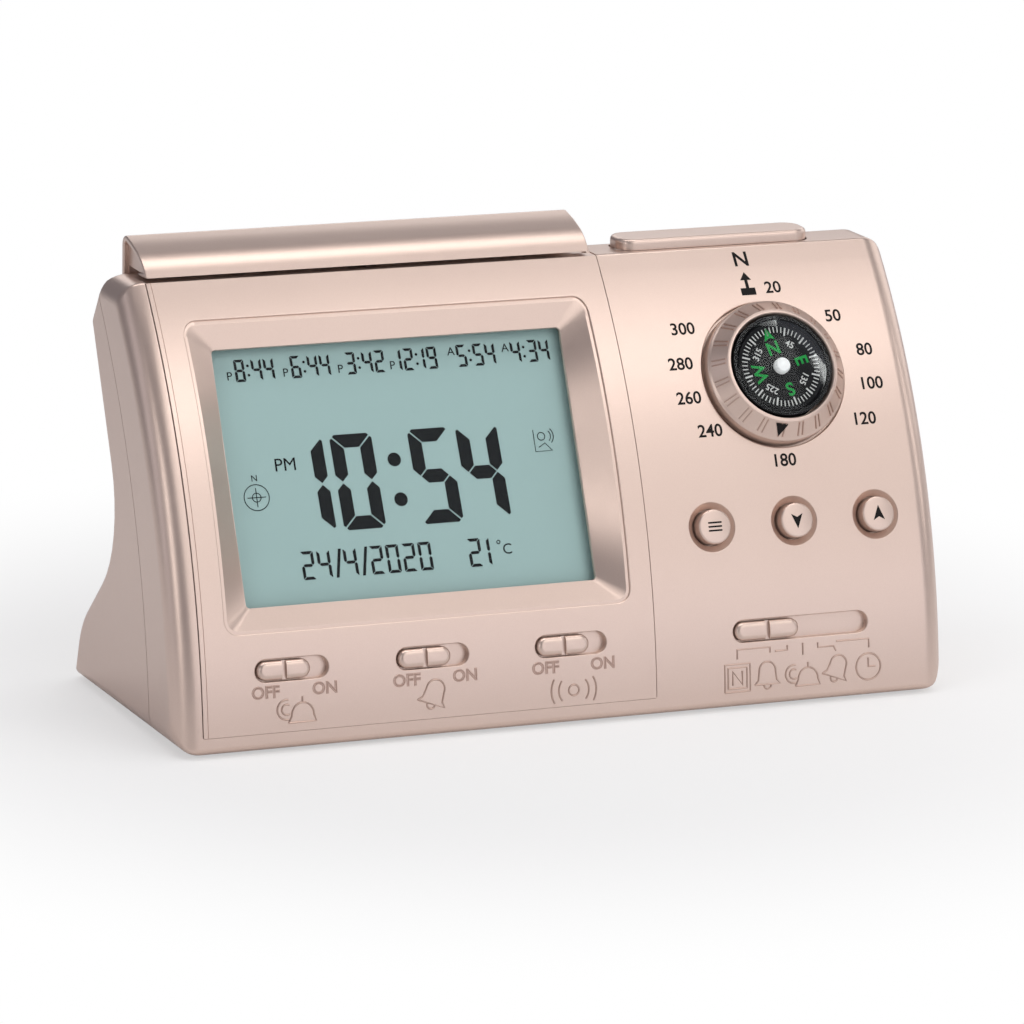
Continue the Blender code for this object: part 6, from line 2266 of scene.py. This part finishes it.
    def printed(self) -> None:
        """Print the arrow, the letter over it and the numbers round the dial."""
        shape = Shape()
        arrow = [Vector(spot) for spot in (self.arrow_tip, *self.arrow_half)]
        arrow += [Vector((-across, up)) for across, up in reversed(self.arrow_half)]
        self.lay(shape, Shape().plate(arrow, -self.film, self.film), *self.arrow_place)
        marks = [self.north] + [(str(number), self.number_size, across, height)
                                for number, across, height in self.numbers]
        for words, size, across, height in marks:
            letters = Shape().mesh_of(text_mesh(words, size, self.film, self.weight))
            self.lay(shape, letters, across, height)
        settle(shape.solid("printed_marks", weld=False), INK, Body.CASE,
               slot=Skin.BLACK, even=False)

    def build(self) -> None:
        """Build both kinds of marks."""
        self.raised()
        self.printed()


# What stays, and the studio


@dataclass(frozen=True)
class Insides:
    """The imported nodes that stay, by the finish that each takes."""

    wanted: tuple[tuple[Finish, tuple[str, ...]], ...] = (
        (WINDOW_CLEAR, ("display_lens",)), (DisplayGlass(), ("lcd_glass",)),
        (Moulded("ivory_plastic", (0.74, 0.72, 0.66)), ("light_guide", "lcd_carrier")),
        (Moulded("contact_rubber", (0.6, 0.6, 0.58), 0.7),
         ("contact_strip_upper", "contact_strip_lower")),
        (CircuitBoard(), ("main_board", "switch_board", "control_board", "key_board")),
        (BLACK, ("main_chip", "snooze_push_switch", "light_push_switch")),
        (Moulded("grey_plastic", (0.2, 0.2, 0.21)), ("ring_retainer",)),
        (Moulded("matt_rubber", (0.03, 0.03, 0.03), 0.8, 2500.0, 0.00006),
         ("button_mat", *(f"rubber_foot_{index}" for index in range(1, 5)))),
        (BrushedMetal("turned_brass", (0.75, 0.58, 0.28)), ("compass_pivot",)),
        (Moulded("sintered_ferrite", (0.1, 0.1, 0.105), 0.6, 1800.0, 0.00005),
         ("speaker_magnet",)),
        (Moulded("pressed_paper", (0.035, 0.035, 0.036), 0.85, 1600.0, 0.0001),
         ("speaker_cone",)),
        (CellSleeve(), ("battery_1", "battery_2")), (PAINT, ("battery_door",)),
        (BrushedMetal("nickel_plate", (0.66, 0.66, 0.65)),
         (*(f"{name}_switch_body" for name in ("azan", "alarm", "snooze", "mode")),
          *(f"{name}_contact_plate" for name in ("front", "rear", "link")),
          *(f"case_screw_{index}" for index in range(1, 5)), "speaker_frame")))

    def build(self, nodes: dict[str, Thing]) -> None:
        """Give every node that stays its finish.

        Args:
            nodes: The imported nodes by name.
        """
        for finish, names in self.wanted:
            for name in names:
                for slot in nodes[name].material_slots:
                    slot.material = made(finish)
                LOG.info("%s: %s", name, finish.name)


WARM = (1.0, 0.985, 0.965)
COOL = (0.93, 0.93, 1.0)


@dataclass(frozen=True)
class Lamp:
    """One soft rectangular lamp; its power is in watts."""

    name: str
    place: Corner
    size: Spot
    power: float
    colour: Colour = WARM

    def hang(self, aim: Corner) -> None:
        """Add the lamp to the scene.

        Args:
            aim: What it points at.
        """
        data = bpy.data.lights.new(self.name, "AREA")
        data.shape = "RECTANGLE"
        data.size, data.size_y = self.size
        data.energy = self.power
        data.color = self.colour
        lamp = bpy.data.objects.new(self.name, data)
        lamp.location = self.place
        way = Vector(aim) - Vector(self.place)
        lamp.rotation_euler = way.to_track_quat("-Z", "Y").to_euler()
        bpy.context.scene.collection.objects.link(lamp)


@dataclass(frozen=True)
class Studio:
    """Floor, lamps, world and camera."""

    floor_reach: float = 6.0
    floor_level: float = -0.00005
    air: Colour = (0.87, 0.87, 1.0)
    air_strength: float = 0.19
    aim: Corner = (0.0, 0.0, 0.05)
    lamps: tuple[Lamp, ...] = (
        Lamp("front_box", (0.28, -1.15, 0.72), (1.2, 1.1), 4.5),
        Lamp("high_front", (0.45, -0.75, 1.15), (0.9, 0.5), 2.5),
        Lamp("overhead_strip", (0.0, 0.04, 1.2), (1.2, 0.4), 5.0),
        Lamp("rear_fill", (0.45, 1.05, 0.62), (1.2, 0.5), 2.6),
        Lamp("low_front", (0.45, -1.25, 0.14), (1.2, 0.24), 1.0, COOL),
        Lamp("front_left", (-1.05, -0.62, 0.42), (0.24, 0.7), 1.5),
        Lamp("left_strip", (-1.18, 0.08, 0.42), (0.42, 0.8), 0.7, COOL),
        Lamp("front_right", (1.08, -0.42, 0.46), (0.25, 0.6), 1.0),
        Lamp("right_strip", (1.14, 0.36, 0.5), (0.8, 0.8), 2.4))
    eye: Corner = (-0.462986, -1.124667, 0.344231)
    azimuth: float = math.radians(22.35074)
    elevation: float = math.radians(14.22409)
    roll: float = math.radians(1.27453)
    lens: float = 219.234

    def build(self) -> None:
        """Set up the floor, the world, the lamps and the camera."""
        bpy.context.scene.view_settings.view_transform = "Standard"
        shape = Shape()
        bmesh.ops.create_grid(shape.mesh, x_segments=2, y_segments=2, size=self.floor_reach)
        floor = shape.at(Matrix.Translation((0.0, 0.0, self.floor_level))).solid("floor")
        floor.data.materials.append(made(PaleFloor()))
        air = Painter("studio_air", world=True)
        seen = air.node("ShaderNodeLightPath", out="Is Camera Ray")
        room = air.node("ShaderNodeBackground", {"Color": (*self.air, 1.0),
                                                 "Strength": self.air_strength})
        white = air.node("ShaderNodeBackground", {"Color": WHITE})
        bpy.context.scene.world = air.finish(
            air.node("ShaderNodeMixShader", {0: seen, 1: room, 2: white}))
        for lamp in self.lamps:
            lamp.hang(self.aim)
        self.stand_camera()

    def stand_camera(self) -> None:
        """Stand the camera where the photo was taken from."""
        camera = bpy.data.cameras.new("camera")
        camera.lens = self.lens
        camera.sensor_width = 36.0
        camera.sensor_fit = "HORIZONTAL"
        camera.clip_start = 0.05
        camera.clip_end = 20.0
        holder = bpy.data.objects.new("camera", camera)
        holder.matrix_world = (Matrix.Translation(self.eye)
                               @ Matrix.Rotation(-self.azimuth, 4, "Z")
                               @ Matrix.Rotation(math.pi / 2 - self.elevation, 4, "X")
                               @ Matrix.Rotation(self.roll, 4, "Z"))
        bpy.context.scene.collection.objects.link(holder)
        bpy.context.scene.camera = holder


def main() -> None:
    """Build the clock's looks, piece by piece."""
    logging.basicConfig(level=logging.INFO, format="%(message)s")
    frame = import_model()
    Studio().build()
    for part in (CaseShells(), DisplayPanel(), DisplayMarks(), SlideKnobs(), PushButtons(),
                 Compass(), TopKeys(), FaceMarks()):
        LOG.info("building %s", type(part).__name__)
        part.build()
    Insides().build(frame["nodes"])


if __name__ == "__main__":
    main()
